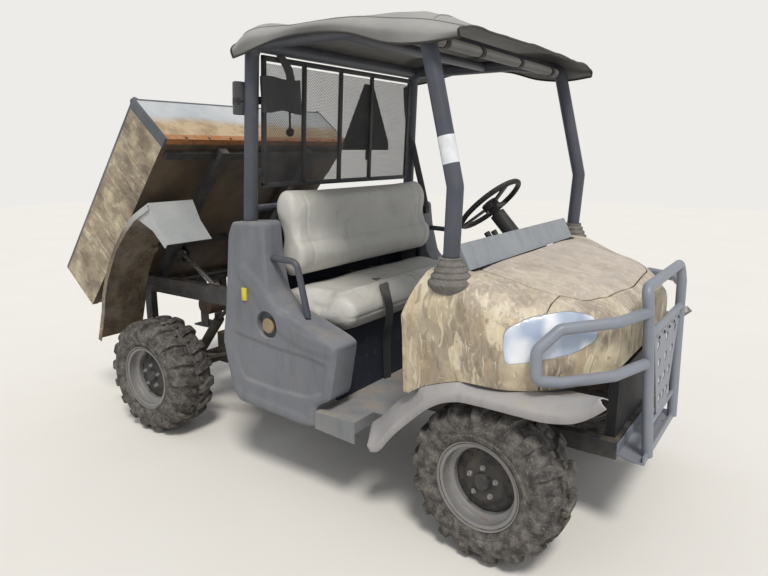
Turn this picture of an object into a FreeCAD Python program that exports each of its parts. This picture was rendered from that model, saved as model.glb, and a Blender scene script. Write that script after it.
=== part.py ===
"""A side by side utility vehicle with a tipping cargo bed, as a parametric document.

Millimetres. +X points to the front, +Y to the vehicle's left and +Z up. The origin lies on the ground
under the middle of the overall box, with the bed tipped as it stands. Sizes with "_x" in their name are
measured ahead of the rear axle, and sizes with "_z" above the ground, unless their note says otherwise.
"""
import FreeCAD, Part
import math
import os
import Sketcher
from FreeCAD import Placement, Rotation, Vector

X_AXIS = Vector(1, 0, 0)
Y_AXIS = Vector(0, 1, 0)
Z_AXIS = Vector(0, 0, 1)
SIDES = (("right", -1), ("left", 1))

# name of the size, value in millimetres or degrees, what it is
SIZES = [
    ("rear_axle_x", -873, "rear axle from the origin, along X"),
    ("wheelbase", 1976, "front axle ahead of the rear axle"),
    ("track", 1186, "between the middles of the two tyres of an axle"),
    ("running_gap", 0.3, "between pieces that seat on each other or turn in each other"),
    ("panel_gap", 6, "between body panels, and round what moves"),
    ("tube_wall", 4, "wall of frame tubes and brackets"),
    # wheels
    ("tyre_radius", 306, "ground to wheel centre, out to the lugs' tips"),
    ("tyre_width", 250, "over the sidewalls"),
    ("lug_height", 17, "lug above the casing"),
    ("lug_count", 17, "lugs in each of the two rows"),
    ("bead_radius", 152, "where the tyre sits on the rim"),
    ("rim_radius", 170, "over the rim's flange"),
    ("rim_width", 224, "over the two flanges"),
    ("rim_wall", 6, "rolled steel of the rim"),
    ("well_radius", 127, "drop centre of the rim"),
    ("disc_offset", 60, "outer face of the disc, outboard of the tyre's middle"),
    ("disc_wall", 8, "wheel disc"),
    ("hub_radius", 44, "hub under the wheel disc"),
    ("hub_bore", 30, "hole in the middle of the wheel disc, radius"),
    ("nut_circle", 57, "radius of the wheel nuts' circle"),
    ("nut_radius", 11, "wheel nut"),
    ("nut_height", 12, "wheel nut"),
    ("nut_count", 5, "wheel nuts"),
    # steering
    ("kingpin_y", 425, "steering axis from the middle plane"),
    ("steer_rest", 4.3, "degrees that the front wheels are turned to the right at rest"),
    ("strut_radius", 24, "strut tube on the steering axis"),
    ("spring_radius", 52, "coil spring round the strut"),
    ("spring_wire", 11, "wire of the coil spring"),
    ("spring_seat_z", 628, "lower seat of the coil spring"),
    ("strut_top_z", 770, "upper end of the strut"),
    ("drum_radius", 98, "brake drum"),
    ("drum_width", 70, "brake drum"),
    ("arm_length", 118, "steering arm, back from the steering axis"),
    ("arm_z", 372, "underside of the steering arm"),
    ("arm_wall", 14, "steering arm"),
    ("rack_radius", 13, "steering rack bar"),
    ("rack_housing_radius", 24, "steering rack housing"),
    ("rack_housing_half", 205, "half length of the rack housing"),
    ("column_radius", 24, "steering column"),
    # suspension
    ("leaf_y", 420, "leaf springs from the middle plane"),
    ("leaf_width", 44, "leaf spring"),
    ("leaf_front_x", 470, "front eye of the leaf spring"),
    ("leaf_rear_x", -300, "rear eye of the leaf spring"),
    ("leaf_eye_z", 470, "eyes of the leaf spring"),
    ("axle_radius", 42, "rear axle tube"),
    # roll-over frame feet
    ("rear_post_x", 790, "rear posts, up to the cowls' top"),
    ("post_y", 640, "rear posts from the middle plane"),
    ("rear_foot_z", 560, "lower end of the rear posts"),
    ("front_post_x", 1804, "front posts at the boots"),
    ("front_post_y", 650, "front posts from the middle plane"),
    ("front_foot_z", 690, "lower end of the front posts"),
    ("roof_tube_z", 1924, "roof tubes"),
    ("roof_tube_radius", 17, "roof tubes"),
    # lift cylinder
    ("lift_y", -285, "lift cylinder from the middle plane"),
    ("lift_base_x", 580, "lower pin of the lift cylinder"),
    ("lift_base_z", 455, "lower pin of the lift cylinder"),
    ("lift_eye_along", 200, "upper pin ahead of the bed hinge, when lowered"),
    ("lift_eye_above", 0, "upper pin above the bed hinge, when lowered"),
    ("lift_barrel_radius", 26, "lift cylinder barrel"),
    ("lift_rod_radius", 13, "lift cylinder rod"),
    ("lift_pin_radius", 10, "lower pin of the lift cylinder"),
    # main frame
    ("rail_y", 240, "lower rails from the middle plane"),
    ("rail_width", 50, "lower rail"),
    ("rail_low_z", 335, "underside of the lower rails"),
    ("rail_top_z", 405, "top of the lower rails"),
    ("rail_rear_x", 320, "rear end of the lower rails"),
    ("rail_front_x", 2325, "front end of the lower rails"),
    ("deck_y", 420, "upper rear rails from the middle plane"),
    ("deck_width", 50, "upper rear rail"),
    ("deck_low_z", 702, "underside of the upper rear rails"),
    ("deck_top_z", 792, "top of the upper rear rails"),
    ("deck_rear_x", -328, "rear end of the upper rails"),
    ("deck_front_x", 742, "front end of the upper rails"),
    ("cross_width", 60, "cross members along X"),
    ("deck_link_x", 506, "rear links from the lower rails out to the upper ones"),
    # bed
    ("hinge_x", -289, "bed hinge"),
    ("hinge_z", 755, "bed hinge"),
    ("hinge_pin_radius", 14, "bed hinge pin"),
    ("bed_tilt", 49.9, "degrees that the bed is tipped at rest"),
    ("bed_rear", 200, "bed behind its hinge, when lowered"),
    ("bed_above", 60, "bed floor's underside above the hinge, when lowered"),
    ("bed_length", 1180, "over the walls"),
    ("bed_half_width", 688, "over the side walls"),
    ("bed_height", 312, "floor's underside to the walls' top"),
    ("bed_wall", 34, "side and front walls"),
    ("bed_floor", 22, "pressed floor, over its ribs"),
    ("bed_rail_radius", 15, "rolled edge on top of the walls"),
    ("gate_wall", 32, "tailgate"),
    ("gate_pin_radius", 7, "tailgate hinge pin"),
    # cab
    ("body_half_width", 735, "over the cowls, the sills and the flares"),
    ("floor_z", 430, "top of the cab floor"),
    ("floor_wall", 6, "cab floor sheet"),
    ("sill_depth", 88, "skirt of the cab floor"),
    ("post_radius", 30, "tube of the roll-over frame"),
    ("post_lean", 3, "screen to the rear posts' slope, in degrees"),
    ("roof_half_width", 710, "over the canopy"),
    ("roof_edge_z", 1858, "canopy hem"),
    ("roof_top_z", 1945, "top of the canopy"),
    ("roof_rear_x", 795, "canopy hem, rear"),
    ("roof_front_x", 1835, "canopy hem, front"),
    ("canopy_wall", 11.5, "canopy cloth with its piping, as a closed solid"),
    ("shell_wall", 5, "moulded body panels"),
    ("hood_hinge_x", 1856, "hood hinge"),
    ("hood_hinge_z", 1048, "hood hinge"),
    ("hood_pin_radius", 4, "hood hinge pins"),
    # front guard
    ("guard_radius", 20, "tube of the front guard"),
    ("shelf_wall", 8, "shelf plate of the front guard"),
    ("shelf_bore_radius", 7, "holes of the front shelf"),
    ("shelf_bore_spacing", 300, "between the holes of the front shelf"),
    ("hitch_bore_radius", 8, "hole of the drawbar"),
]

doc = FreeCAD.newDocument("side_by_side_utv")
sheet = doc.addObject("Spreadsheet::Sheet", "Sizes")


class Size:
    """A number from the sheet that keeps the expression it came from."""

    def __init__(self, value, text):
        self.value = float(value)
        self.text = text

    def __float__(self):
        return self.value

    def __int__(self):
        return int(round(self.value))

    def joined(self, other, sign, value, swap=False):
        mine = self.text
        theirs = other.text if isinstance(other, Size) else "(%r)" % other
        if swap:
            mine, theirs = theirs, mine
        return Size(value, "(%s %s %s)" % (mine, sign, theirs))

    def __add__(self, other):
        return self.joined(other, "+", self.value + float(other))

    def __radd__(self, other):
        return self.joined(other, "+", float(other) + self.value, True)

    def __sub__(self, other):
        return self.joined(other, "-", self.value - float(other))

    def __rsub__(self, other):
        return self.joined(other, "-", float(other) - self.value, True)

    def __mul__(self, other):
        return self.joined(other, "*", self.value * float(other))

    def __rmul__(self, other):
        return self.joined(other, "*", float(other) * self.value, True)

    def __truediv__(self, other):
        return self.joined(other, "/", self.value / float(other))

    def __neg__(self):
        return self.joined(-1, "*", -self.value)


class Sizes:
    """The sheet's cells as attributes."""

    def __init__(self, rows):
        for number, (alias, value, note) in enumerate(rows, 1):
            sheet.set("A%d" % number, note)
            sheet.set("B%d" % number, str(value))
            sheet.setAlias("B%d" % number, alias)
        doc.recompute()
        for alias, value, note in rows:
            setattr(self, alias, Size(sheet.get(alias), "Sizes." + alias))


s = Sizes(SIZES)
nodes = {}


def vec(x, y, z):
    return Vector(float(x), float(y), float(z))


def bind(obj, prop, size):
    """Set a property, and tie it to the sheet where the size comes from there."""
    if isinstance(size, Size):
        obj.setExpression(prop, size.text)
    else:
        holder = obj
        path = prop.split(".")
        if len(path) == 1:
            setattr(holder, prop, size)
        else:
            place = obj.Placement
            base = place.Base
            setattr(base, path[-1], float(size))
            place.Base = base
            obj.Placement = place
    return obj


def keep(label, obj):
    """Name an object as a finished piece."""
    obj.Label = label
    nodes[label] = obj
    return obj


def feature(label, shape, place=None):
    """A finished piece whose shape is worked out here."""
    obj = doc.addObject("Part::Feature", label)
    obj.Shape = shape
    if place is not None:
        obj.Placement = place
    return keep(label, obj)


def box(name, low, high):
    """A block between two corners, tied to the sheet."""
    obj = doc.addObject("Part::Box", name)
    for prop, a, b in zip(("Length", "Width", "Height"), low, high):
        bind(obj, prop, b - a)
    for prop, a in zip(("x", "y", "z"), low):
        bind(obj, "Placement.Base." + prop, a)
    return obj


def cylinder_y(name, x, y, z, radius, length):
    """A round bar along +Y from the given point, tied to the sheet."""
    obj = doc.addObject("Part::Cylinder", name)
    obj.Placement = Placement(vec(x, y, z), Rotation(X_AXIS, -90))
    bind(obj, "Radius", radius)
    bind(obj, "Height", length)
    for prop, a in zip(("x", "y", "z"), (x, y, z)):
        if isinstance(a, Size):
            bind(obj, "Placement.Base." + prop, a)
    return obj


def fused(name, parts):
    obj = doc.addObject("Part::MultiFuse", name)
    obj.Shapes = parts
    return obj


def cut(name, base, tool):
    obj = doc.addObject("Part::Cut", name)
    obj.Base = base
    obj.Tool = tool
    return obj


def block(low, high):
    """A plain block shape between two corners."""
    low = vec(*low)
    high = vec(*high)
    size = high - low
    return Part.makeBox(size.x, size.y, size.z, low)


def bar(start, end, radius):
    """A round bar shape between two points."""
    start = vec(*start)
    end = vec(*end)
    return Part.makeCylinder(float(radius), (end - start).Length, start, end - start)


def prism_y(points, low_y, high_y):
    """A side outline of x, z points, as a solid from one y to another."""
    corners = [vec(x, low_y, z) for x, z in points]
    face = Part.Face(Part.makePolygon(corners + corners[:1]))
    return face.extrude(vec(0, high_y - low_y, 0))


def prism_z(points, low_z, high_z):
    """A plan outline of x, y points, as a solid from one z to another."""
    corners = [vec(x, y, low_z) for x, y in points]
    face = Part.Face(Part.makePolygon(corners + corners[:1]))
    return face.extrude(vec(0, 0, high_z - low_z))


def joined(shapes):
    """One shape from several that meet."""
    whole = shapes[0].multiFuse(shapes[1:])
    return whole.removeSplitter()


def mirrored(shape):
    """The same shape on the vehicle's other side."""
    return shape.mirror(Vector(0, 0, 0), Y_AXIS)


def tube(points, radius, bend):
    """A round tube along straight runs that are joined by tangent arcs."""
    corners = [vec(*p) for p in points]
    edges = []
    start = corners[0]
    for before, here, after in zip(corners, corners[1:], corners[2:]):
        back = (before - here).normalize()
        ahead = (after - here).normalize()
        half = back.getAngle(ahead) / 2
        setback = float(bend) / math.tan(half)
        first = here + back * setback
        last = here + ahead * setback
        middle = (back + ahead).normalize()
        middle = here + middle * (float(bend) / math.sin(half) - float(bend))
        edges.append(Part.LineSegment(start, first).toShape())
        edges.append(Part.Arc(first, middle, last).toShape())
        start = last
    edges.append(Part.LineSegment(start, corners[-1]).toShape())
    path = Part.Wire(edges)
    ring = Part.makeCircle(float(radius), corners[0], corners[1] - corners[0])
    return path.makePipeShell([Part.Wire(ring)], True, False)


def origin_plane(body, role):
    return next(item for item in body.Origin.OriginFeatures if item.Role == role)


def sketch(body, name, role, points, height=None):
    """A closed outline on one of the body's planes, each corner tied to the sheet."""
    drawing = body.newObject("Sketcher::SketchObject", name)
    drawing.AttachmentSupport = [(origin_plane(body, role), "")]
    drawing.MapMode = "FlatFace"
    if height is not None:
        drawing.AttachmentOffset = Placement(vec(0, 0, height), Rotation())
        if isinstance(height, Size):
            drawing.setExpression("AttachmentOffset.Base.z", height.text)
    corners = [vec(u, v, 0) for u, v in points]
    count = len(corners)
    for i in range(count):
        drawing.addGeometry(Part.LineSegment(corners[i], corners[(i + 1) % count]))
    for i in range(count):
        drawing.addConstraint(Sketcher.Constraint("Coincident", i, 2, (i + 1) % count, 1))
    for i, corner in enumerate(points):
        for kind, size in zip(("DistanceX", "DistanceY"), corner):
            index = drawing.addConstraint(Sketcher.Constraint(kind, -1, 1, i, 1, float(size)))
            if isinstance(size, Size):
                drawing.setExpression("Constraints[%d]" % index, size.text)
    return drawing


def pad(body, name, drawing, length, both_ways=False, reverse=False):
    made = body.newObject("PartDesign::Pad", name)
    made.Profile = drawing
    if both_ways:
        made.SideType = "Symmetric"
    made.Reversed = reverse
    bind(made, "Length", length)
    return made


def new_body(label):
    return doc.addObject("PartDesign::Body", label)


rear = s.rear_axle_x
front = s.rear_axle_x + s.wheelbase


# Wheels


def tyre_casing():
    """Half section of the casing as y offset and radius, without its lugs."""
    half = s.tyre_width / 2
    top = s.tyre_radius - s.lug_height
    return [
        (s.rim_width / 2 - 9.6, s.bead_radius + s.running_gap),
        (s.rim_width / 2 - 5.6, s.rim_radius + s.running_gap),
        (half - 6, s.rim_radius + 16),
        (half, s.bead_radius + 64),
        (half - 6, s.bead_radius + 95),
        (half - 26, top - 16),
        (half - 60, top - 4),
        (0, top),
    ]


def make_tyre():
    """Casing by revolution, with one lug of each row patterned round it."""
    body = new_body("tyre_pattern")
    half = tyre_casing()
    outline = half + [(-y, r) for y, r in reversed(half[:-1])]
    drawing = sketch(body, "casing_outline", "YZ_Plane", outline)
    casing = body.newObject("PartDesign::Revolution", "casing")
    casing.Profile = drawing
    casing.ReferenceAxis = (drawing, ["H_Axis"])
    casing.Angle = 360
    doc.recompute()
    top = float(s.tyre_radius)
    low = top - float(s.lug_height)
    pitch = 360 / int(s.lug_count)
    edge = float(s.tyre_width) / 2
    # A lug in plan as angle round the wheel, in pitches, and share of the half width
    bar_plan = [(-0.33, 0.08), (-0.08, 0.05), (0.30, 0.62), (0.30, 0.97), (-0.16, 0.97), (-0.16, 0.66)]
    # Half section of the lugs' tips as share of the half width and drop below the crown
    drop_at = ((0.0, 0.0), (0.62, 4.0), (0.84, 13.0), (1.0, 48.0))
    lugs = []
    for row in (1, -1):
        for step in range(int(s.lug_count)):
            start = (step + (0.5 if row < 0 else 0)) * pitch
            lugs.append(lug(bar_plan, drop_at, start, pitch, row, edge, low, top))
    shape = body.Shape.multiFuse(lugs)
    return shape


def lug(plan, drop_at, start, pitch, row, edge, low, top):
    """One tread lug as a loft from the casing to its tip."""

    def drop(share):
        for (a, da), (b, db) in zip(drop_at, drop_at[1:]):
            if share <= b:
                return da + (db - da) * (share - a) / (b - a)
        return drop_at[-1][1]

    rings = []
    for height, shrink in ((low - 8, 1.0), (top, 0.86)):
        middle_angle = sum(p[0] for p in plan) / len(plan)
        middle_width = sum(p[1] for p in plan) / len(plan)
        ring = []
        for turn, share in plan:
            turn = middle_angle + (turn - middle_angle) * shrink
            share = middle_width + (share - middle_width) * (shrink + 1) / 2
            angle = math.radians(start + turn * pitch)
            radius = height - drop(share)
            ring.append(Vector(radius * math.sin(angle), row * share * edge, radius * math.cos(angle)))
        rings.append(ring)
    return hull_of(rings[0], rings[1])


def hull_of(bottom, top):
    """A solid between two rings of as many points, each side in two triangles."""
    count = len(bottom)
    faces = []
    for i in range(count):
        j = (i + 1) % count
        faces.append(triangle(bottom[i], bottom[j], top[j]))
        faces.append(triangle(bottom[i], top[j], top[i]))
    for ring in (bottom, top):
        centre = Vector(0, 0, 0)
        for point in ring:
            centre = centre + point
        centre = centre * (1 / count)
        for i in range(count):
            faces.append(triangle(ring[i], ring[(i + 1) % count], centre))
    solid = Part.Solid(Part.Shell(faces))
    if solid.Volume < 0:
        solid.reverse()
    return solid


def triangle(a, b, c):
    return Part.Face(Part.makePolygon([a, b, c, a]))


def rim_section():
    """The rim's rolled section as y offset and radius, out along the top and back below."""
    half = s.rim_width / 2
    seat = s.bead_radius
    well = s.well_radius
    wall = s.rim_wall
    outer = [
        (half, s.rim_radius),
        (half - 5, s.rim_radius),
        (half - 9, seat),
        (half - 40, seat),
        (half - 54, well),
    ]
    top = outer + [(-y, r) for y, r in reversed(outer)]
    inner = [(half, s.rim_radius - wall), (half - 4, seat - wall), (half - 42, seat - wall)]
    inner.append((half - 56, well - wall))
    return top + [(-y, r) for y, r in inner] + list(reversed(inner))


def make_rim():
    """Rolled rim with its disc, nuts and hub cap, outer face towards +Y."""
    body = new_body("rim_pattern")
    drawing = sketch(body, "rolled_section", "YZ_Plane", rim_section())
    rolled = body.newObject("PartDesign::Revolution", "rolled_rim")
    rolled.Profile = drawing
    rolled.ReferenceAxis = (drawing, ["H_Axis"])
    rolled.Angle = 360
    doc.recompute()
    reach = s.well_radius - s.rim_wall + 2
    face = s.disc_offset
    back = s.disc_offset - s.disc_wall
    dish = 14
    disc_outline = [
        (back, s.hub_bore), (face, s.hub_bore), (face, s.nut_circle + 24), (face - dish, s.nut_circle + 40),
        (face - dish, reach), (back - dish, reach), (back - dish, s.nut_circle + 37),
        (back, s.nut_circle + 22),
    ]
    disc_drawing = sketch(body, "disc_section", "YZ_Plane", disc_outline)
    disc = body.newObject("PartDesign::Revolution", "disc")
    disc.Profile = disc_drawing
    disc.ReferenceAxis = (disc_drawing, ["H_Axis"])
    disc.Angle = 360
    doc.recompute()
    nuts = []
    for step in range(int(s.nut_count)):
        angle = math.radians(step * 360 / int(s.nut_count))
        x = float(s.nut_circle) * math.sin(angle)
        z = float(s.nut_circle) * math.cos(angle)
        nuts.append(bar((x, face - 1, z), (x, face + s.nut_height, z), s.nut_radius))
    cap = bar((0, back + 0.5, 0), (0, face + 20, 0), s.hub_bore + 1)
    return body.Shape.multiFuse(nuts + [cap])


def steer_place(side):
    """Turns a front corner about its steering axis, from straight ahead to its place at rest."""
    pivot = vec(front, side * s.kingpin_y, 0)
    turn = Placement(Vector(0, 0, 0), Rotation(Z_AXIS, -float(s.steer_rest)), pivot)
    return turn


def make_wheels():
    tyre_shape = make_tyre()
    rim_shape = make_rim()
    for axle, x in (("rear", rear), ("front", front)):
        for name, side in SIDES:
            spin = Rotation(Z_AXIS, 180 if side < 0 else 0)
            at = Placement(vec(x, side * s.track / 2, s.tyre_radius), spin)
            if axle == "front":
                at = steer_place(side).multiply(at)
            feature("rim_%s_%s" % (axle, name), rim_shape.copy(), at)
            feature("tyre_%s_%s" % (axle, name), tyre_shape.copy(), at)
    for helper in ("tyre_pattern", "rim_pattern"):
        doc.getObject(helper).Visibility = False


def hub_end(side):
    """Where the hub meets the wheel disc's inner face."""
    return side * (s.track / 2 + s.disc_offset - s.disc_wall - s.running_gap)


def make_knuckles():
    """Steering knuckle with its strut, spring, hub, brake drum and steering arm."""
    for name, side in SIDES:
        x, y, z = front, side * s.kingpin_y, s.tyre_radius
        strut = bar((x, y, 236), (x, y, s.strut_top_z - s.running_gap), s.strut_radius)
        seat = bar((x, y, s.spring_seat_z - 8), (x, y, s.spring_seat_z), s.spring_radius + 6)
        turns = 5
        rise = float(s.strut_top_z - s.running_gap - s.spring_seat_z) - 1.6 * float(s.spring_wire) - 3
        spring = [seat, bar((x, y, s.spring_seat_z - 2), (x, y, s.strut_top_z - s.running_gap),
                            s.spring_radius - s.spring_wire * 1.5)]
        for step in range(turns):
            height = float(s.spring_seat_z) + 0.6 * float(s.spring_wire) + rise * step / (turns - 1)
            spring.append(Part.makeTorus(float(s.spring_radius - s.spring_wire), float(s.spring_wire),
                                         vec(x, y, height)))
        inner_face = s.kingpin_y
        web = block((x - 34, side * inner_face if side > 0 else side * (inner_face + 60), z - 58),
                    (x + 34, side * (inner_face + 60) if side > 0 else side * inner_face, z + 70))
        drum_start = side * (s.kingpin_y + 52)
        drum = bar((x, drum_start, z), (x, drum_start + side * s.drum_width, z), s.drum_radius)
        hub = bar((x, drum_start, z), (x, hub_end(side), z), s.hub_radius)
        reach = s.arm_length + 16
        arm = block((x - reach, y - 15, s.arm_z), (x, y + 15, s.arm_z + s.arm_wall))
        ball = bar((x, y, 214), (x, y, 240), 17)
        shape = joined([strut, web, drum, hub, arm, ball] + spring)
        feature("knuckle_" + name, shape, steer_place(side))


def make_steering_rack():
    """Rack bar with both tie rods, one rigid piece that slides along Y."""
    x = front - s.arm_length
    z = s.arm_z - s.running_gap - 8
    shift = float(s.arm_length) * math.sin(math.radians(float(s.steer_rest)))
    ends = []
    for side in (-1, 1):
        ends.append(bar((x, side * s.kingpin_y + shift, z - 8), (x, side * s.kingpin_y + shift, z + 8), 15))
    rods = bar((x, -s.kingpin_y + shift, z), (x, s.kingpin_y + shift, z), 8)
    rack = bar((x, -s.rack_housing_half - 40 + shift, z), (x, s.rack_housing_half + 40 + shift, z),
               s.rack_radius)
    feature("steering_rack", joined([rods, rack] + ends))


def make_driver_controls():
    """Steering column with its rack housing and shaft, the levers and the pedals."""
    rack_x = front - s.arm_length
    rack_z = s.arm_z - s.running_gap - 8
    half = s.rack_housing_half
    housing = bar((rack_x, -half, rack_z), (rack_x, half, rack_z), s.rack_housing_radius)
    hole = bar((rack_x, -half - 1, rack_z), (rack_x, half + 1, rack_z), s.rack_radius + s.running_gap)
    housing = housing.cut(hole)
    seat = s.rail_y - s.rail_width / 2 - s.running_gap
    for side in (-1, 1):
        flange = bar((rack_x, side * (half - 8), rack_z), (rack_x, side * seat, rack_z), 32)
        inside = bar((rack_x, side * (half - 10), rack_z), (rack_x, side * (seat + 1), rack_z),
                     s.rack_radius + s.running_gap)
        housing = joined([housing, flange]).cut(inside)
    top = column_point(COLUMN_TOP)
    low = column_point(COLUMN_LOW)
    column = bar(top, low, s.column_radius)
    shroud_from = column_point(60)
    shroud = bar(shroud_from, column_point(240), 38)
    stalk = tube([column_point(120), column_point(120) + vec(-30, 90, 10),
                  column_point(120) + vec(-70, 120, 25)], 6, 20)
    shape = joined([column, shroud, stalk])
    levers = []
    for y, lean in ((150, 10), (95, -8)):
        start = vec(rear + 1676, y, 985)
        end = start + vec(-75, lean, 110)
        levers.append(joined([bar(start, end, 6), bar(end, end + vec(-16, 0, 24), 14)]))
    pedals = []
    for y in (395, 255):
        face = block((rear + 1548, y - 30, 500), (rear + 1556, y + 30, 590))
        stem = tube([(rear + 1552, y, 560), (rear + 1590, y, 672), (rear + 1647, y, 700)], 7, 25)
        pedals.append(joined([face, stem]))
    solids = [shape, housing] + levers + pedals
    feature("driver_controls", Part.makeCompound(solids))


STEERING_CENTRE = (1492, 310, 1228)
COLUMN_SLOPE = 47
COLUMN_TOP = 26.3
COLUMN_LOW = 330


def column_point(along):
    """A point on the steering column's axis, measured down from the steering wheel's middle."""
    x, y, z = STEERING_CENTRE
    angle = math.radians(COLUMN_SLOPE)
    return vec(rear + x + along * math.cos(angle), y, z - along * math.sin(angle))


def make_steering_wheel():
    """Ring, three spokes and hub, on the column's axis."""
    ring_radius = 172
    parts = [Part.makeTorus(ring_radius, 13), bar((0, 0, -26), (0, 0, 10), 42)]
    for turn in (90, 210, 330):
        spoke = Part.makeBox(ring_radius, 30, 9, Vector(0, -15, -14))
        spoke.rotate(Vector(0, 0, 0), Z_AXIS, turn)
        parts.append(spoke)
    wheel = joined(parts)
    x, y, z = STEERING_CENTRE
    tilt = Rotation(Y_AXIS, -(90 - COLUMN_SLOPE))
    place = Placement(vec(rear + x, y, z), tilt)
    feature("steering_wheel", wheel, place)


# Helpers for the pieces that are drawn ahead of the rear axle


def ahead(label, shape):
    """A finished piece whose shape is drawn ahead of the rear axle."""
    obj = feature(label, shape)
    return bind(obj, "Placement.Base.x", rear)


def keep_ahead(label, obj):
    """Finish a piece of the sheet's blocks and profiles, drawn ahead of the rear axle."""
    keep(label, obj)
    return bind(obj, "Placement.Base.x", rear)


def side_box(name, side, low, high):
    """A block drawn on the left side, or its mirror image on the right one."""
    if side < 0:
        low, high = (low[0], -high[1], low[2]), (high[0], -low[1], high[2])
    return box(name, low, high)


def slab(name, points, low_y, high_y):
    """A side outline of x, z corners as a padded profile from one y to another."""
    body = new_body(name)
    drawing = sketch(body, name + "_outline", "XZ_Plane", points, -high_y)
    pad(body, name + "_pad", drawing, high_y - low_y)
    return body


def side_slab(name, side, points, low_y, high_y):
    if side < 0:
        low_y, high_y = -high_y, -low_y
    return slab(name, points, low_y, high_y)


def strip(points, wall):
    """Outline of a sheet of one thickness along an open line of x, z points."""
    corners = [(float(x), float(z)) for x, z in points]
    offset = []
    count = len(corners)
    for i, (x, z) in enumerate(corners):
        normals = []
        for a, b in ((i - 1, i), (i, i + 1)):
            if a >= 0 and b < count:
                run = (corners[b][0] - corners[a][0], corners[b][1] - corners[a][1])
                length = math.hypot(*run)
                normals.append((-run[1] / length, run[0] / length))
        nx = sum(n[0] for n in normals) / len(normals)
        nz = sum(n[1] for n in normals) / len(normals)
        size = nx * nx + nz * nz
        offset.append((x + nx / size * float(wall), z + nz / size * float(wall)))
    return corners + offset[::-1]


def ring_solid(rings):
    """A solid through rings of as many points each, its faces in triangles."""
    faces = []
    count = len(rings[0])
    for first, second in zip(rings, rings[1:]):
        for i in range(count):
            j = (i + 1) % count
            faces.append(triangle(first[i], first[j], second[j]))
            faces.append(triangle(first[i], second[j], second[i]))
    for ring in (rings[0], rings[-1]):
        for i in range(1, count - 1):
            faces.append(triangle(ring[0], ring[i], ring[i + 1]))
    solid = Part.Solid(Part.Shell(faces))
    if solid.Volume < 0:
        solid.reverse()
    return solid


def sections(rows):
    """A solid through half sections, each an x and its y, z points from the outside to the middle."""
    rings = []
    for x, half in rows:
        ring = [vec(x, y, z) for y, z in half]
        ring += [vec(x, -y, z) for y, z in reversed(half) if y > 0]
        rings.append(Part.makePolygon(ring + ring[:1]))
    return Part.makeLoft(rings, True, True, False)


# Chassis


def make_main_frame():
    """Rails and cross members as a ladder, with the lift's foot."""
    half = s.rail_width / 2
    low = s.rail_low_z
    top = s.rail_top_z
    parts = []
    for name, side in SIDES:
        parts.append(side_box("rail_" + name, side, (s.rail_rear_x, s.rail_y - half, low),
                              (s.rail_front_x, s.rail_y + half, top)))
    for x in (400, 720, 1180, 1640, s.wheelbase - 35, 2262):
        parts.append(box("cross", (x, -s.rail_y, low), (x + s.cross_width, s.rail_y, top)))
    eye_x = s.lift_base_x
    eye_z = s.lift_base_z
    outside = s.lift_y - 26
    parts.append(box("lift_foot", (s.deck_link_x + s.cross_width - 10, outside, top - 14),
                     (eye_x + 34, s.lift_y + 26, top + 18)))
    for y in (s.lift_y - 26, s.lift_y + 18):
        parts.append(box("lift_ear", (eye_x - 26, y, top + 10), (eye_x + 26, y + 8, eye_z + 26)))
    bores = []
    for y in (s.rail_y, -s.rail_y):
        bores.append(cylinder_y("rack_hole", s.wheelbase - s.arm_length, y - half - 1,
                                s.arm_z - s.running_gap - 8, s.rack_radius + 7, s.rail_width + 2))
    bores.append(cylinder_y("lift_bore", eye_x, outside - 1, eye_z, s.lift_pin_radius + s.running_gap, 54))
    keep_ahead("main_frame", cut("main_frame_cut", fused("ladder", parts), fused("frame_bores", bores)))


def make_deck_frame():
    """Upper rails under the bed, each with its legs and the hangers of its spring."""
    deck_half = s.deck_width / 2
    deck_in = s.deck_y - deck_half
    deck_out = s.deck_y + deck_half
    low = s.rail_low_z
    rails = []
    for name, side in SIDES:
        parts = []
        def add(part, start, end):
            parts.append(side_box(part + "_" + name, side, start, end))
        add("deck", (s.deck_rear_x, deck_in, s.deck_low_z), (s.deck_front_x, deck_out, s.deck_top_z))
        for x in (s.deck_link_x, s.deck_front_x - s.cross_width):
            end = x + s.cross_width - 10
            add("deck_link", (x, s.rail_y + s.rail_width / 2, low), (end, deck_out, s.rail_top_z))
            add("deck_leg", (x, deck_in, low), (end, deck_out, s.deck_low_z + 1))
        for eye, reach in ((s.leaf_front_x, 32), (s.leaf_rear_x, 28)):
            hanger = s.leaf_eye_z + 22 + s.running_gap
            add("hanger", (eye - reach, s.leaf_y - 20, hanger), (eye + reach, s.leaf_y + 20, s.deck_low_z + 1))
        hinge = cylinder_y("hinge_bore_" + name, s.hinge_x, side * s.deck_y - deck_half - 1, s.hinge_z,
                           s.hinge_pin_radius + s.running_gap, s.deck_width + 2)
        rails.append(cut("deck_rail_" + name, fused("deck_members_" + name, parts), hinge))
    pair = doc.addObject("Part::Compound", "deck_pair")
    pair.Links = rails
    keep_ahead("deck_frame", pair)


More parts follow.
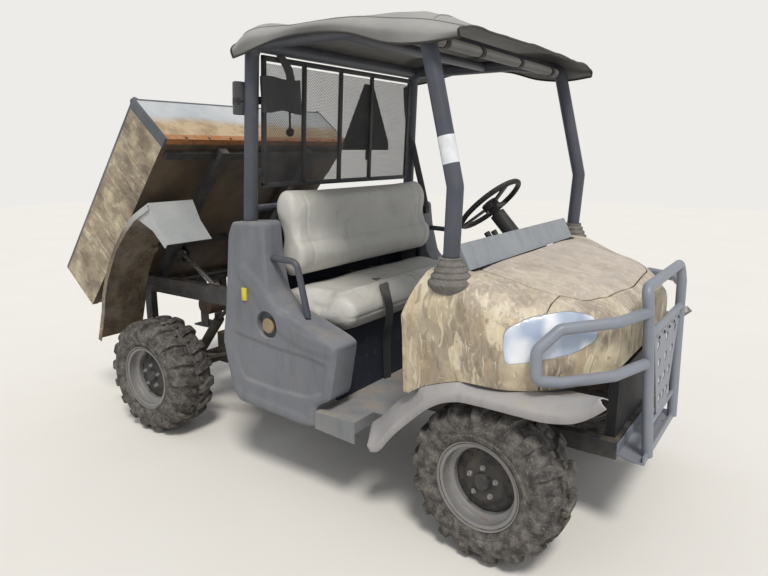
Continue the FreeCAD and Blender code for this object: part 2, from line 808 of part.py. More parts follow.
def make_deck_crosses():
    """Cross members between the upper rails, the rear one with the drawbar under it."""
    inside = s.deck_y - s.deck_width / 2
    rear_parts = []
    for name, side in SIDES:
        rear_parts.append(side_box("hitch_strut_" + name, side, (-320, 50, 392), (-252, 58, s.deck_low_z + 4)))
    rear_parts.append(box("hitch_plate", (-385, -62, 392), (-282, 62, 402)))
    crosses = []
    for x, z in ((-270, s.deck_low_z - 2), (300, s.deck_low_z), (s.deck_front_x - 50, s.deck_low_z)):
        crosses.append(box("deck_cross", (x, -inside, z), (x + 50, inside, z + 24)))
    hole = doc.addObject("Part::Cylinder", "hitch_bore")
    bind(hole, "Radius", s.hitch_bore_radius)
    bind(hole, "Height", 30)
    hole.Placement = Placement(Vector(-352, 0, 380), Rotation())
    crosses[0] = cut("rear_cross", fused("rear_cross_members", crosses[:1] + rear_parts), hole)
    group = doc.addObject("Part::Compound", "cross_set")
    group.Links = crosses
    keep_ahead("deck_crosses", group)


def make_frame_brackets():
    """Strut towers, feet of the cab's posts and floor pads, welded to the ladder."""
    half = s.rail_width / 2
    inner = s.rail_y - half
    outer = s.rail_y + half
    low = s.rail_low_z
    top = s.rail_top_z
    brackets = []
    for name, side in SIDES:
        def add(part, *boxes):
            pieces = [side_box(part + "_" + name, side, start, end) for start, end in boxes]
            brackets.append(fused(part + "_" + name + "_weld", pieces) if len(pieces) > 1 else pieces[0])
        tower = s.strut_top_z
        add("tower", ((s.wheelbase - 35, outer, low), (s.wheelbase + 35, 366, top)),
            ((s.wheelbase - 35, 300, top - 1), (s.wheelbase + 35, 366, tower + 1)),
            ((s.wheelbase - 60, 300, tower), (s.wheelbase + 60, s.kingpin_y + 55, tower + 10)))
        foot = s.front_foot_z - s.running_gap
        add("front_leg", ((s.front_post_x - 34, inner, top), (s.front_post_x + 26, outer + 25, foot - 50)),
            ((s.front_post_x - 34, inner, foot - 51), (s.front_post_x + 46, 690, foot)))
        foot = s.rear_foot_z - s.running_gap
        add("rear_leg", ((s.rear_post_x - 30, inner, top), (s.rear_post_x + 30, outer, foot - 60)),
            ((s.rear_post_x - 30, inner, foot - 61), (s.rear_post_x + 30, s.post_y + 40, foot)))
        for x in (1250, 1450):
            add("floor_pad", ((x, inner, top), (x + 40, outer, s.floor_z - s.floor_wall - s.running_gap)))
    group = doc.addObject("Part::Compound", "bracket_set")
    group.Links = brackets
    keep_ahead("frame_brackets", group)


def make_engine():
    body = box("engine_block", (330, -204, s.rail_top_z + s.running_gap), (690, 204, 684))
    keep("engine_block", body)
    bind(body, "Placement.Base.x", rear + 330)


def make_driveline():
    """Rear axle with its gearbox and drums, the shaft along the middle and the front differential."""
    centre = s.tyre_radius
    parts = [
        block((-112, -108, 214), (152, 108, 402)),
        block((150, -86, 262), (318, 86, 396)),
        bar((0, -480, centre), (0, 480, centre), s.axle_radius),
        bar((150, 0, 292), (1905, 0, 284), 20),
        block((1902, -88, 216), (2052, 88, s.rail_low_z - s.running_gap)),
        bar((s.wheelbase, -392, 284), (s.wheelbase, 392, 284), 14),
        bar((s.wheelbase, -150, 284), (s.wheelbase, 150, 284), 32),
    ]
    for side in (-1, 1):
        parts.append(bar((0, side * 477, centre), (0, side * (477 + s.drum_width), centre), s.drum_radius))
        parts.append(bar((0, side * 477, centre), (0, hub_end(side), centre), s.hub_radius))
        parts.append(bar((s.wheelbase, side * 318, 284), (s.wheelbase, side * 388, 284), 30))
    ahead("driveline", joined(parts))


def make_rear_suspension():
    """Leaf springs on the axle and a shock absorber behind each."""
    solids = []
    eye_z = s.leaf_eye_z
    top = s.tyre_radius + s.axle_radius + s.running_gap
    line = [(s.leaf_rear_x, eye_z), (-180, top + 46), (-60, top + 14), (60, top + 14), (240, top + 42),
            (s.leaf_front_x, eye_z)]
    for side in (-1, 1):
        low_y = side * s.leaf_y - s.leaf_width / 2
        high_y = side * s.leaf_y + s.leaf_width / 2
        parts = [prism_y(strip(line, 16), low_y, high_y)]
        short = [(-200, top + 37), (-60, top + 0.5), (60, top + 0.5), (200, top + 24)]
        parts.append(prism_y(strip(short, 14), low_y, high_y))
        for x in (s.leaf_rear_x, s.leaf_front_x):
            parts.append(bar((x, low_y, eye_z), (x, high_y, eye_z), 22))
        parts.append(block((-46, low_y - 6, top), (46, high_y + 6, top + 44)))
        y = side * (s.leaf_y - 70)
        parts.append(block((-6, min(float(y) - 22, float(y) + 22), top), (50, max(float(y) - 22, float(y) + 22),
                                                                         top + 30)))
        parts.append(block((-6, min(float(y), float(side * s.leaf_y)), top),
                           (46, max(float(y), float(side * s.leaf_y)), top + 12)))
        parts.append(bar((28, y, top + 24), (205, y, 590), 27))
        parts.append(bar((190, y, 574), (318, y, 694), 11))
        parts.append(block((302, y - 20, 668), (342, y + 20, s.deck_low_z - s.running_gap)))
        solids.append(joined(parts))
    ahead("rear_suspension", Part.makeCompound(solids))


def make_front_suspension():
    """Lower arms under the rails, out to the ball joints."""
    solids = []
    z = s.rail_low_z - s.running_gap - 17
    for side in (-1, 1):
        y = side * (s.rail_y + 6)
        tip = (s.wheelbase, side * s.kingpin_y, 196)
        parts = [bar((1862, y, z), (2090, y, z), 17)]
        for x in (1880, 2072):
            parts.append(bar((x, y, z), tip, 15))
        parts.append(bar((s.wheelbase, side * s.kingpin_y, 186),
                         (s.wheelbase, side * s.kingpin_y, 214 - s.running_gap), 24))
        room = bar((s.wheelbase, side * s.kingpin_y, 214 - s.running_gap),
                   (s.wheelbase, side * s.kingpin_y, 330), 34)
        solids.append(joined(parts).cut(room))
    ahead("front_suspension", Part.makeCompound(solids))


def make_muffler():
    y = 60
    parts = [bar((-188, y - 190, 560), (-188, y + 190, 560), 58)]
    parts.append(block((-262, y, 570), (-226, y + 26, s.deck_low_z - 2 - s.running_gap)))
    parts.append(tube([(-188, y + 150, 560), (-188, y + 262, 560), (-330, y + 262, 540)], 21, 45))
    ahead("muffler", joined(parts))


# Cab


def column_hole(name):
    """The round opening that the steering column passes through."""
    start = column_point(250) - vec(rear, 0, 0)
    end = column_point(420) - vec(rear, 0, 0)
    hole = doc.addObject("Part::Cylinder", name)
    bind(hole, "Radius", s.column_radius + s.running_gap)
    hole.Height = (end - start).Length
    hole.Placement = Placement(start, Rotation(Z_AXIS, end - start))
    return hole


def make_floor_pan():
    """Floor with its toe board and the sills' skirts."""
    wide = s.body_half_width
    top = s.floor_z
    wall = s.floor_wall
    parts = []
    line = [(1222, top - wall), (1530, top - wall), (1642, 556), (1692, 1034)]
    parts.append(slab("floor_sheet", strip(line, wall), -600, 600))
    edge = [(1226, top - wall), (1428, top - wall)]
    skirt = [(1344, top), (1226, top), (1222, 352), (1428, 337), (1428, top)]
    for name, side in SIDES:
        parts.append(side_slab("step_" + name, side, strip(edge, wall), 596, wide))
        parts.append(side_slab("skirt_" + name, side, skirt, wide - wall, wide))
        parts.append(side_slab("step_lip_" + name, side, [(1428 - wall, 380), (1428, 380), (1428, top),
                                                       (1428 - wall, top)], 596, wide))
    keep_ahead("floor_pan", cut("floor_cut", fused("floor_parts", parts), column_hole("floor_hole")))


COWL_OUTLINE = [
    (736, 1187), (926, 1195), (934, 1055), (965, 900), (1023, 835), (1236, 763), (1314, 734), (1339, 716),
    (1298, 488), (1216, 444), (1216, 352), (1139, 346), (759, 370), (723, 421), (690, 560), (673, 643),
    (708, 836), (712, 1129),
]


def shrunk(points, wall):
    """A closed outline moved inwards by one wall."""
    count = len(points)
    area = 0
    for (x0, z0), (x1, z1) in zip(points, points[1:] + points[:1]):
        area += (x0 * z1 - x1 * z0) / 2
    turn = 1 if area > 0 else -1
    moved = []
    for i in range(count):
        before = points[i - 1]
        here = points[i]
        after = points[(i + 1) % count]
        normals = []
        for a, b in ((before, here), (here, after)):
            run = (b[0] - a[0], b[1] - a[1])
            length = math.hypot(*run)
            normals.append((-run[1] / length * turn, run[0] / length * turn))
        nx = (normals[0][0] + normals[1][0]) / 2
        nz = (normals[0][1] + normals[1][1]) / 2
        size = max(nx * nx + nz * nz, 0.3)
        moved.append((here[0] + nx / size * wall, here[1] + nz / size * wall))
    return moved


def leaning_prism(points, low_y, high_y, lean_from, lean):
    """A side outline as a solid whose outer face leans inwards above a height."""
    solid = prism_y(points, low_y, high_y)
    top = 1300
    wedge = Part.Face(Part.makePolygon([
        vec(500, high_y, lean_from), vec(500, high_y - lean, top), vec(500, high_y + 60, top),
        vec(500, high_y, lean_from)])).extrude(Vector(1200, 0, 0))
    return solid.cut(wedge)


def make_cowls():
    """Moulded shells beside the seat, open towards the seat box, with the filler opening on the right."""
    wall = float(s.shell_wall)
    outside = s.body_half_width
    inside = 592
    outer = leaning_prism(COWL_OUTLINE, inside, outside, 850, 44)
    cavity_points = shrunk(COWL_OUTLINE, wall)
    cavity = leaning_prism(cavity_points, inside + wall, outside - wall, 850, 44)
    shell = outer.cut(cavity)
    under = prism_y(cavity_points, inside - 1, inside + wall + 1).common(
        block((600, inside - 2, 300), (1400, inside + wall + 2, 690)))
    post = bar((s.rear_post_x, s.post_y, 400), (s.rear_post_x, s.post_y, 1300), s.post_radius + s.panel_gap)
    foot = block((s.rear_post_x - 50, 500, 440), (s.rear_post_x + 50, inside + wall + 2, 700))
    shell = shell.cut(under).cut(post).cut(foot)
    filler = bar((955, 560, 758), (955, 780, 758), 62)
    pocket = bar((955, outside - 46, 758), (955, outside - 3, 758), 62 + wall)
    pocket = pocket.cut(bar((955, outside - 46 + wall, 758), (955, outside + 1, 758), 62))
    neck = bar((955, outside - 46, 758), (955, outside - 12, 758), 26)
    right = joined([shell.cut(bar((955, outside - 46, 758), (955, 780, 758), 62)), pocket, neck])
    ahead("side_cowl_right", mirrored(right))
    ahead("side_cowl_left", shell)


def make_seat():
    """Seat box with its back panel, then the cushion and the backrest."""
    wall = s.floor_wall
    half = 592 - s.running_gap
    parts = [
        slab("seat_box_skin", strip([(1234, s.floor_z + 1.1), (1196, 724), (884, 706)], wall),
             -half, half),
        box("back_sheet", (776, -half, 590), (776 + wall, half, 1182)),
        box("back_flange", (776, -half, 1176), (806, half, 1182)),
        box("back_foot", (776, -half, 699), (892, half, 705)),
    ]
    end = [(1226, s.floor_z + s.running_gap), (1188, 722), (884, 708), (778, 708), (778, 590), (884, 520),
           (1000, s.floor_z + s.running_gap)]
    for name, side in SIDES:
        parts.append(side_slab("seat_end_" + name, side, end, half - wall, half))
    keep_ahead("seat_base", fused("seat_base_parts", parts))
    cushion = [(870, 705.8), (1190, 724.3), (1232, 738), (1282, 764), (1300, 806), (1290, 850), (1244, 882),
               (1120, 880), (902, 872), (862, 850), (850, 790)]
    ahead("seat_cushion", pillow(cushion, 560, 26))
    back = [(912, 930), (975, 945), (1012, 1000), (1010, 1060), (980, 1100), (955, 1300), (935, 1322),
            (880, 1322), (862, 1300), (872, 1100), (880, 960)]
    brackets = []
    for y in (-300, 300):
        brackets.append(block((776 + wall + s.running_gap, y - 25, 1040), (892, y + 25, 1090)))
        brackets.append(block((776 + wall + s.running_gap, y - 25, 960), (900, y + 25, 1000)))
    ahead("seat_back", joined([pillow(back, 560, 20)] + brackets))


def pillow(points, half, inset):
    """A side outline through the middle that narrows at both ends."""
    points = [(float(x), float(z)) for x, z in points]
    middle_x = sum(x for x, z in points) / len(points)
    middle_z = sum(z for x, z in points) / len(points)
    rings = []
    for y, inward in ((-half, inset), (-half + inset, 0), (half - inset, 0), (half, inset)):
        ring = []
        for x, z in points:
            run_x = middle_x - x
            run_z = middle_z - z
            length = math.hypot(run_x, run_z)
            share = min(inward / length, 0.4)
            ring.append(vec(x + run_x * share, y, z + run_z * share))
        rings.append(ring)
    return ring_solid(rings)


def make_grab_rails():
    """A bent hand rail in front of each cowl."""
    solids = []
    for side in (-1, 1):
        y = side * 664
        points = [(940.7, y, 1040), (1078, y, 1036), (1136, y, 804.9)]
        solids.append(tube(points, 14, 42))
    ahead("grab_rails", Part.makeCompound(solids))


def roll_over_side(side, radius):
    """One side's post, roof rail and rear post."""
    points = [
        (s.front_post_x, side * s.front_post_y, s.front_foot_z),
        (s.front_post_x, side * s.front_post_y, 1120),
        (1816, side * 655, 1370),
        (1688, side * 648, 1886),
        (1450, side * 632, s.roof_tube_z),
        (832, side * 626, s.roof_tube_z),
        (s.rear_post_x, side * s.post_y, 1180),
        (s.rear_post_x, side * s.post_y, s.rear_foot_z),
    ]
    return tube(points, radius, 58)


def roof_bows():
    """Bows across the roof: front, middle and the rear hoop's top."""
    return [bar((x, -y, z), (x, y, z), radius) for x, y, z, radius in (
        (1650, 645, 1892, s.roof_tube_radius + 5),
        (1280, 629, s.roof_tube_z, s.roof_tube_radius + 5),
        (832, 626, s.roof_tube_z, s.post_radius))]


def make_rops():
    """Roll-over frame with its roof bows."""
    parts = roof_bows()
    for side in (-1, 1):
        parts.append(roll_over_side(side, s.post_radius))
    parts.append(bar((s.rear_post_x + 2, -s.post_y, 1240), (s.rear_post_x + 2, s.post_y, 1240), 16))
    ahead("rops_frame", joined(parts))


def lean_back(shape):
    """Turn what stands between the rear posts to their slope."""
    shape.rotate(Vector(806, 0, 1338), Y_AXIS, float(s.post_lean))
    return Part.makeCompound([shape])


def make_rear_screen():
    """Frame of the screen between the rear posts, and its mesh as one thin sheet."""
    parts = []
    x = 806
    for y in (-572, -315, -47, 212, 572):
        parts.append(block((x, y - 11, 1338), (x + 14, y + 11, 1806)))
    for z in (1338, 1790):
        parts.append(block((x, -583, z - 8), (x + 14, 583, z + 14)))
    for z in (1400, 1700):
        for side in (-1, 1):
            low, high = sorted((side * 570, side * 630))
            parts.append(block((x + 2, low, z - 16), (x + 10, high, z + 16)))
    frame = lean_back(joined(parts))
    for side in (-1, 1):
        frame = frame.cut(roll_over_side(side, s.post_radius + s.running_gap))
    ahead("rear_screen", max(frame.Solids, key=lambda solid: solid.Volume))
    sheets = []
    for low, high in ((-561, -326), (-304, -58), (-36, 201), (223, 561)):
        sheets.append(block((x + 6, low + s.running_gap, 1352 + s.running_gap),
                            (x + 8, high - s.running_gap, 1782 - s.running_gap)))
    ahead("screen_mesh", lean_back(Part.makeCompound(sheets)))


def make_warning_triangle():
    """Truncated triangle of a slow vehicle, behind the screen, with its bracket."""
    x = 792
    face = [(9, 1493), (415, 1493), (415, 1530), (250, 1830), (174, 1830), (9, 1530)]
    corners = [vec(x, y, z) for y, z in face]
    plate = Part.Face(Part.makePolygon(corners + corners[:1])).extrude(Vector(4, 0, 0))
    bracket = block((x + 3, 200, 1440), (806 - s.running_gap, 224, 1520))
    ahead("warning_triangle", lean_back(joined([plate, bracket])))


CANOPY_ROWS = [
    (785, [(690, 1866), (700, 1893), (655, 1930), (420, 1944), (0, 1948)]),
    (838, [(705, 1871), (713, 1915), (655, 1964), (420, 1970), (0, 1972)]),
    (1100, [(705, 1915), (713, 1940), (655, 1965), (420, 1973), (0, 1976)]),
    (1400, [(705, 1898), (713, 1930), (655, 1962), (420, 1971), (0, 1974)]),
    (1560, [(705, 1852), (712, 1902), (655, 1952), (420, 1963), (0, 1966)]),
    (1720, [(705, 1839), (708, 1878), (650, 1922), (420, 1936), (0, 1940)]),
    (1835, [(690, 1848), (697, 1864), (640, 1884), (420, 1893), (0, 1899)]),
]


def make_canopy():
    """Cloth canopy over the roof bows, as a closed solid open underneath."""
    wall = float(s.canopy_wall)
    outer = sections(CANOPY_ROWS)
    inner_rows = []
    last = len(CANOPY_ROWS) - 1
    for i, (x, half) in enumerate(CANOPY_ROWS):
        x += wall if i == 0 else (-wall if i == last else 0)
        ring = [(half[0][0] - wall, half[0][1] - 5)]
        ring += [(y - wall * (y > 0), z - wall) for y, z in half[1:]]
        inner_rows.append((x, ring))
    canopy = outer.cut(sections(inner_rows))
    for side in (-1, 1):
        canopy = canopy.cut(roll_over_side(side, s.post_radius + s.running_gap))
    for bow in roof_bows():
        canopy = canopy.cut(bow)
    ahead("roof_canopy", max(canopy.Solids, key=lambda solid: solid.Volume))
    rolls = [bar((1685.4, -590, 1865.4), (1685.4, 590, 1865.4), 22)]
    rolls.append(bar((761.4, -652, 1640), (770, -652, 1775), 28))
    ahead("rolled_curtains", Part.makeCompound(rolls))


# Front body


BODY_ROWS = [
    # x, then y and z of a half section from the foot of the side to the middle of the top
    (1640, [(700, 560), (712, 800), (706, 985), (668, 1048), (500, 1062), (0, 1066)]),
    (1842, [(700, 640), (712, 820), (704, 975), (664, 1042), (500, 1062), (0, 1068)]),
    (2060, [(668, 660), (684, 820), (655, 930), (600, 985), (470, 1014), (0, 1030)]),
    (2180, [(582, 660), (598, 800), (584, 905), (550, 955), (440, 985), (0, 1000)]),
    (2262, [(484, 680), (502, 790), (490, 880), (458, 925), (380, 955), (0, 968)]),
    (2335, [(400, 702), (413, 780), (400, 850), (360, 885), (280, 905), (0, 915)]),
]
HOOD_PLAN = [(1852, 505), (1990, 500), (2130, 470), (2215, 415), (2258, 300), (2272, 0)]
LAMP_OUTLINE = [(2033, 905), (2096, 944), (2185, 960), (2232, 946), (2262, 930), (2284, 862), (2225, 818),
                (2043, 783), (2031, 850)]


def grown(points, gap):
    """A closed outline moved outwards by a gap."""
    return shrunk(points, -float(gap))


def hood_outline(gap):
    plan = HOOD_PLAN + [(x, -y) for x, y in reversed(HOOD_PLAN) if y > 0]
    return grown(plan, gap) if gap else plan


def bellows(x, y):
    """A rubber bellows round an upright post: a cone of round folds on a wide skirt."""
    folds, low, high = 4, 1040, 1124
    base, top, depth = 82, 42, 7
    pitch = (high - low) / folds
    outline = [(0, low - 60), (base + 4, low - 60), (base + 4, low)]
    for k in range(folds):
        radius = base + (top - base) * k / (folds - 1)
        z = low + pitch * k
        outline += [(radius, z + 0.15 * pitch), (radius, z + 0.6 * pitch), (radius - depth, z + 0.8 * pitch)]
    outline += [(top - 4, high), (0, high)]
    face = Part.Face(Part.makePolygon([vec(x + r, y, z) for r, z in outline + outline[:1]]))
    return face.revolve(vec(x, y, 0), Vector(0, 0, 1), 360)


def make_front_body():
    """Hood, side panels, fascia and head lamps, cut from one moulded shell."""
    wall = float(s.shell_wall)
    outer = sections(BODY_ROWS)
    inner_rows = []
    for i, (x, half) in enumerate(BODY_ROWS):
        if i == 0:
            x -= 1
        if i == len(BODY_ROWS) - 1:
            x -= wall
        ring = [(half[0][0] - wall, half[0][1] - 40)]
        ring += [(y - wall * (y > 0), z - wall) for y, z in half[1:]]
        inner_rows.append((x, ring))
    shell = outer.cut(sections(inner_rows))
    shell = shell.cut(block((1600, -566, 1000), (1850, 566, 1200)))
    rear_cut = prism_y([(1600, 640), (1625, 655), (1637, 898), (1708, 1053), (1708, 1100), (1600, 1100)],
                       -800, 800)
    flare_line = [(row[2], row[3] + 0.8) for row in FLARE_ROWS]
    under = prism_y([(1400, 400)] + flare_line + [(2500, 800), (2500, 400)], -800, 800)
    shell = shell.cut(rear_cut).cut(under)
    for side in (-1, 1):
        post = bar((s.front_post_x, side * s.front_post_y, 890), (s.front_post_x, side * s.front_post_y, 1180),
                   s.post_radius + s.panel_gap)
        shell = shell.cut(post)
    hood = shell.common(prism_z(hood_outline(0), 880, 1200))
    rest = shell.cut(prism_z(hood_outline(s.panel_gap), 880, 1200))
    lamp_prisms = []
    lamp_holes = []
    for side in (-1, 1):
        low, high = sorted((side * 360, side * 740))
        lamp_prisms.append(prism_y(LAMP_OUTLINE, low, high))
        lamp_holes.append(prism_y(grown(LAMP_OUTLINE, s.running_gap), low, high))
    lamps = [rest.common(prism) for prism in lamp_prisms]
    for hole in lamp_holes:
        rest = rest.cut(hole)
    split = s.panel_gap / 2
    panels = rest.common(block((1600, -800, 600), (2139 - split, 800, 1100)))
    fascia = rest.common(block((2139 + split, -800, 600), (2400, 800, 1100)))
    tabs = []
    for side in (-1, 1):
        low, high = sorted((side * 300, side * 356))
        tab = block((s.hood_hinge_x - 4, low, s.hood_hinge_z - 6), (1900, high, s.hood_hinge_z + 8))
        tabs.append(tab.common(outer))
        tabs.append(bar((s.hood_hinge_x, side * 330, s.hood_hinge_z),
                        (s.hood_hinge_x, side * 374, s.hood_hinge_z), s.hood_pin_radius))
    ahead("hood", joined([hood] + tabs))
    ahead("front_panels", panels)
    ahead("front_fascia", fascia)
    ahead("headlights", Part.makeCompound(lamps))
    boots = []
    for side in (-1, 1):
        cone = bellows(s.front_post_x, side * s.front_post_y)
        cone = cone.cut(bar((s.front_post_x, side * s.front_post_y, 900),
                            (s.front_post_x, side * s.front_post_y, 1200), s.post_radius + s.running_gap))
        below = outer.copy()
        below.translate(Vector(0, 0, float(s.running_gap)))
        cone = cone.cut(below).cut(block((1600, -578, 900), (1846, 578, 1200)))
        pieces = sorted(cone.Solids, key=lambda solid: solid.Volume)
        boots.append(pieces[-1])
    ahead("post_boots", Part.makeCompound(boots))


def make_dash():
    """Dash over the toe board, up to the hood's rear edge."""
    wall = s.shell_wall
    line = [(1833, 1065), (1786, 1158), (1700, 1102), (1687.5, 1035.2)]
    parts = [slab("dash_skin", strip(line, wall), -560, 560)]
    end = [(1833, 1065), (1786, 1158), (1700, 1102), (1689, 1041), (1830, 1041)]
    bores = [column_hole("dash_hole")]
    for name, side in SIDES:
        parts.append(side_slab("dash_end_" + name, side, end, 560 - wall, 560))
        ear = [(1816, 1028), (1862, 1028), (1862, 1050), (1859, 1054), (1853, 1054), (1850, 1041),
               (1836, 1041), (1828, 1074), (1816, 1074)]
        parts.append(side_slab("hood_ear_" + name, side, ear, 362, 370))
        y = 360 if side > 0 else -372
        bores.append(cylinder_y("hood_bore_" + name, s.hood_hinge_x, y, s.hood_hinge_z,
                                s.hood_pin_radius + s.running_gap, 12))
    keep_ahead("dash_panel", cut("dash_cut", fused("dash_parts", parts), fused("dash_bores", bores)))


FLARE_ROWS = [
    # lower edge x, z, upper edge x, z, and how far in the sheet's fold and its inner edge are
    (1508, 326, 1446, 402, 640, 608),
    (1550, 345, 1500, 446, 640, 608),
    (1620, 432, 1560, 512, 640, 608),
    (1690, 502, 1640, 582, 640, 608),
    (1754, 562, 1716, 634, 704, 697),
    (1818, 604, 1798, 668, 704, 697),
    (1884, 626, 1874, 690, 704, 697),
    (1946, 630, 1946, 692, 640, 500),
    (2033, 630, 2033, 688, 640, 500),
    (2116, 629, 2116, 688, 640, 500),
    (2195, 629, 2190, 690, 640, 500),
    (2270, 642, 2240, 700, 640, 500),
    (2317, 661, 2289, 716, 640, 500),
    (2361, 692, 2336, 733, 640, 500),
    (2395, 723, 2370, 746, 640, 500),
]


def make_flares():
    """Front wheel arches as bent sheets with a rolled lip."""
    wall = float(s.shell_wall) + 1
    outside = float(s.body_half_width)
    solids = []
    for side in (-1, 1):
        rings = []
        for low_x, low_z, up_x, up_z, fold_y, inner_y in FLARE_ROWS:
            run_x = up_x - low_x
            run_z = up_z - low_z
            length = math.hypot(run_x, run_z)
            run_x /= length
            run_z /= length
            deep = length - 16
            ring = [
                (low_x, outside, low_z),
                (low_x + run_x * 22, outside, low_z + run_z * 22),
                (low_x + run_x * 38, outside - 14, low_z + run_z * 38),
                (up_x, fold_y, up_z),
                (low_x + run_x * deep, inner_y, low_z + run_z * deep),
                (low_x + run_x * (deep - wall), inner_y, low_z + run_z * (deep - wall)),
                (up_x - run_x * wall, fold_y, up_z - run_z * wall),
                (low_x + run_x * (38 - wall), outside - 18, low_z + run_z * (38 - wall)),
                (low_x + run_x * 18, outside - wall, low_z + run_z * 18),
                (low_x, outside - wall, low_z),
            ]
            rings.append([vec(x, side * y, z) for x, y, z in ring])
        solids.append(ring_solid(rings))
    ahead("fender_flares", Part.makeCompound(solids))


def make_radiator():
    box("radiator", (2268, -225, s.rail_top_z + s.running_gap), (2306, 225, 672))
    obj = doc.getObject("radiator")
    keep("radiator", obj)
    bind(obj, "Placement.Base.x", rear + 2268)


def make_front_guard():
    """Tube guard with its side loops, the plate between its posts and the shelf on the rails."""
    radius = s.guard_radius
    hoop = [(2428, -225, 366), (2402, -301, 950), (2390, -301, 1022), (2390, 301, 1022), (2402, 301, 950),
            (2428, 225, 366)]
    parts = [tube(hoop, radius, 34)]
    for side in (-1, 1):
        loop = [(2402, side * 301, 936), (2346, side * 474, 930), (2200, side * 622, 917),
                (2146, side * 684, 850), (2150, side * 684, 748), (2212, side * 620, 734),
                (2346, side * 474, 742), (2406, side * 300, 748)]
        parts.append(tube(loop, radius, 30))
    parts.append(bar((2408, -290, 850), (2408, 290, 850), 12))
    low_z = 356
    shelf = prism_z([(2327, -262), (2327, 262), (2380, 295), (2434, 295), (2434, -295), (2380, -295)],
                    low_z, low_z + s.shelf_wall)
    for y in (-s.shelf_bore_spacing / 2, s.shelf_bore_spacing / 2):
        shelf = shelf.cut(bar((2405, y, low_z - 10), (2405, y, low_z + 40), s.shelf_bore_radius))
    parts.append(shelf)
    parts.append(block((s.rail_front_x + s.running_gap, -262, 342), (s.rail_front_x + 8, 262, 400)))
    parts.append(block((2434 - s.shelf_wall, -295, low_z), (2434, 295, low_z + 34)))
    plate = Part.Face(Part.makePolygon([
        vec(2412, -236, 840), vec(2412, 236, 840), vec(2418, 90, 470), vec(2418, -90, 470),
        vec(2412, -236, 840)])).extrude(Vector(5, 0, 0))
    for z, half in ((780, 150), (700, 115), (620, 85), (540, 60)):
        for y in (-half, 0, half):
            plate = plate.cut(bar((2390, y, z), (2440, y, z), 20))
    parts.append(plate)
    parts.append(bar((2414, -292, 846), (2414, 292, 846), 9))
    parts.append(bar((2419, -225, 476), (2419, 225, 476), 9))
    ahead("front_guard", joined(parts))


# Bed, drawn lowered and ahead of the rear axle


def tipped():
    """From the bed as it is drawn, lowered, to its place at rest."""
    pivot = vec(s.hinge_x, 0, s.hinge_z)
    turn = Placement(Vector(0, 0, 0), Rotation(Y_AXIS, -float(s.bed_tilt)), pivot)
    return Placement(vec(rear, 0, 0), Rotation()).multiply(turn)


def on_bed(label, obj):
    obj.Placement = tipped().multiply(obj.Placement)
    return keep(label, obj)


def bed_x(along):
    """Along the floor from its rear edge."""
    return s.hinge_x - s.bed_rear + along


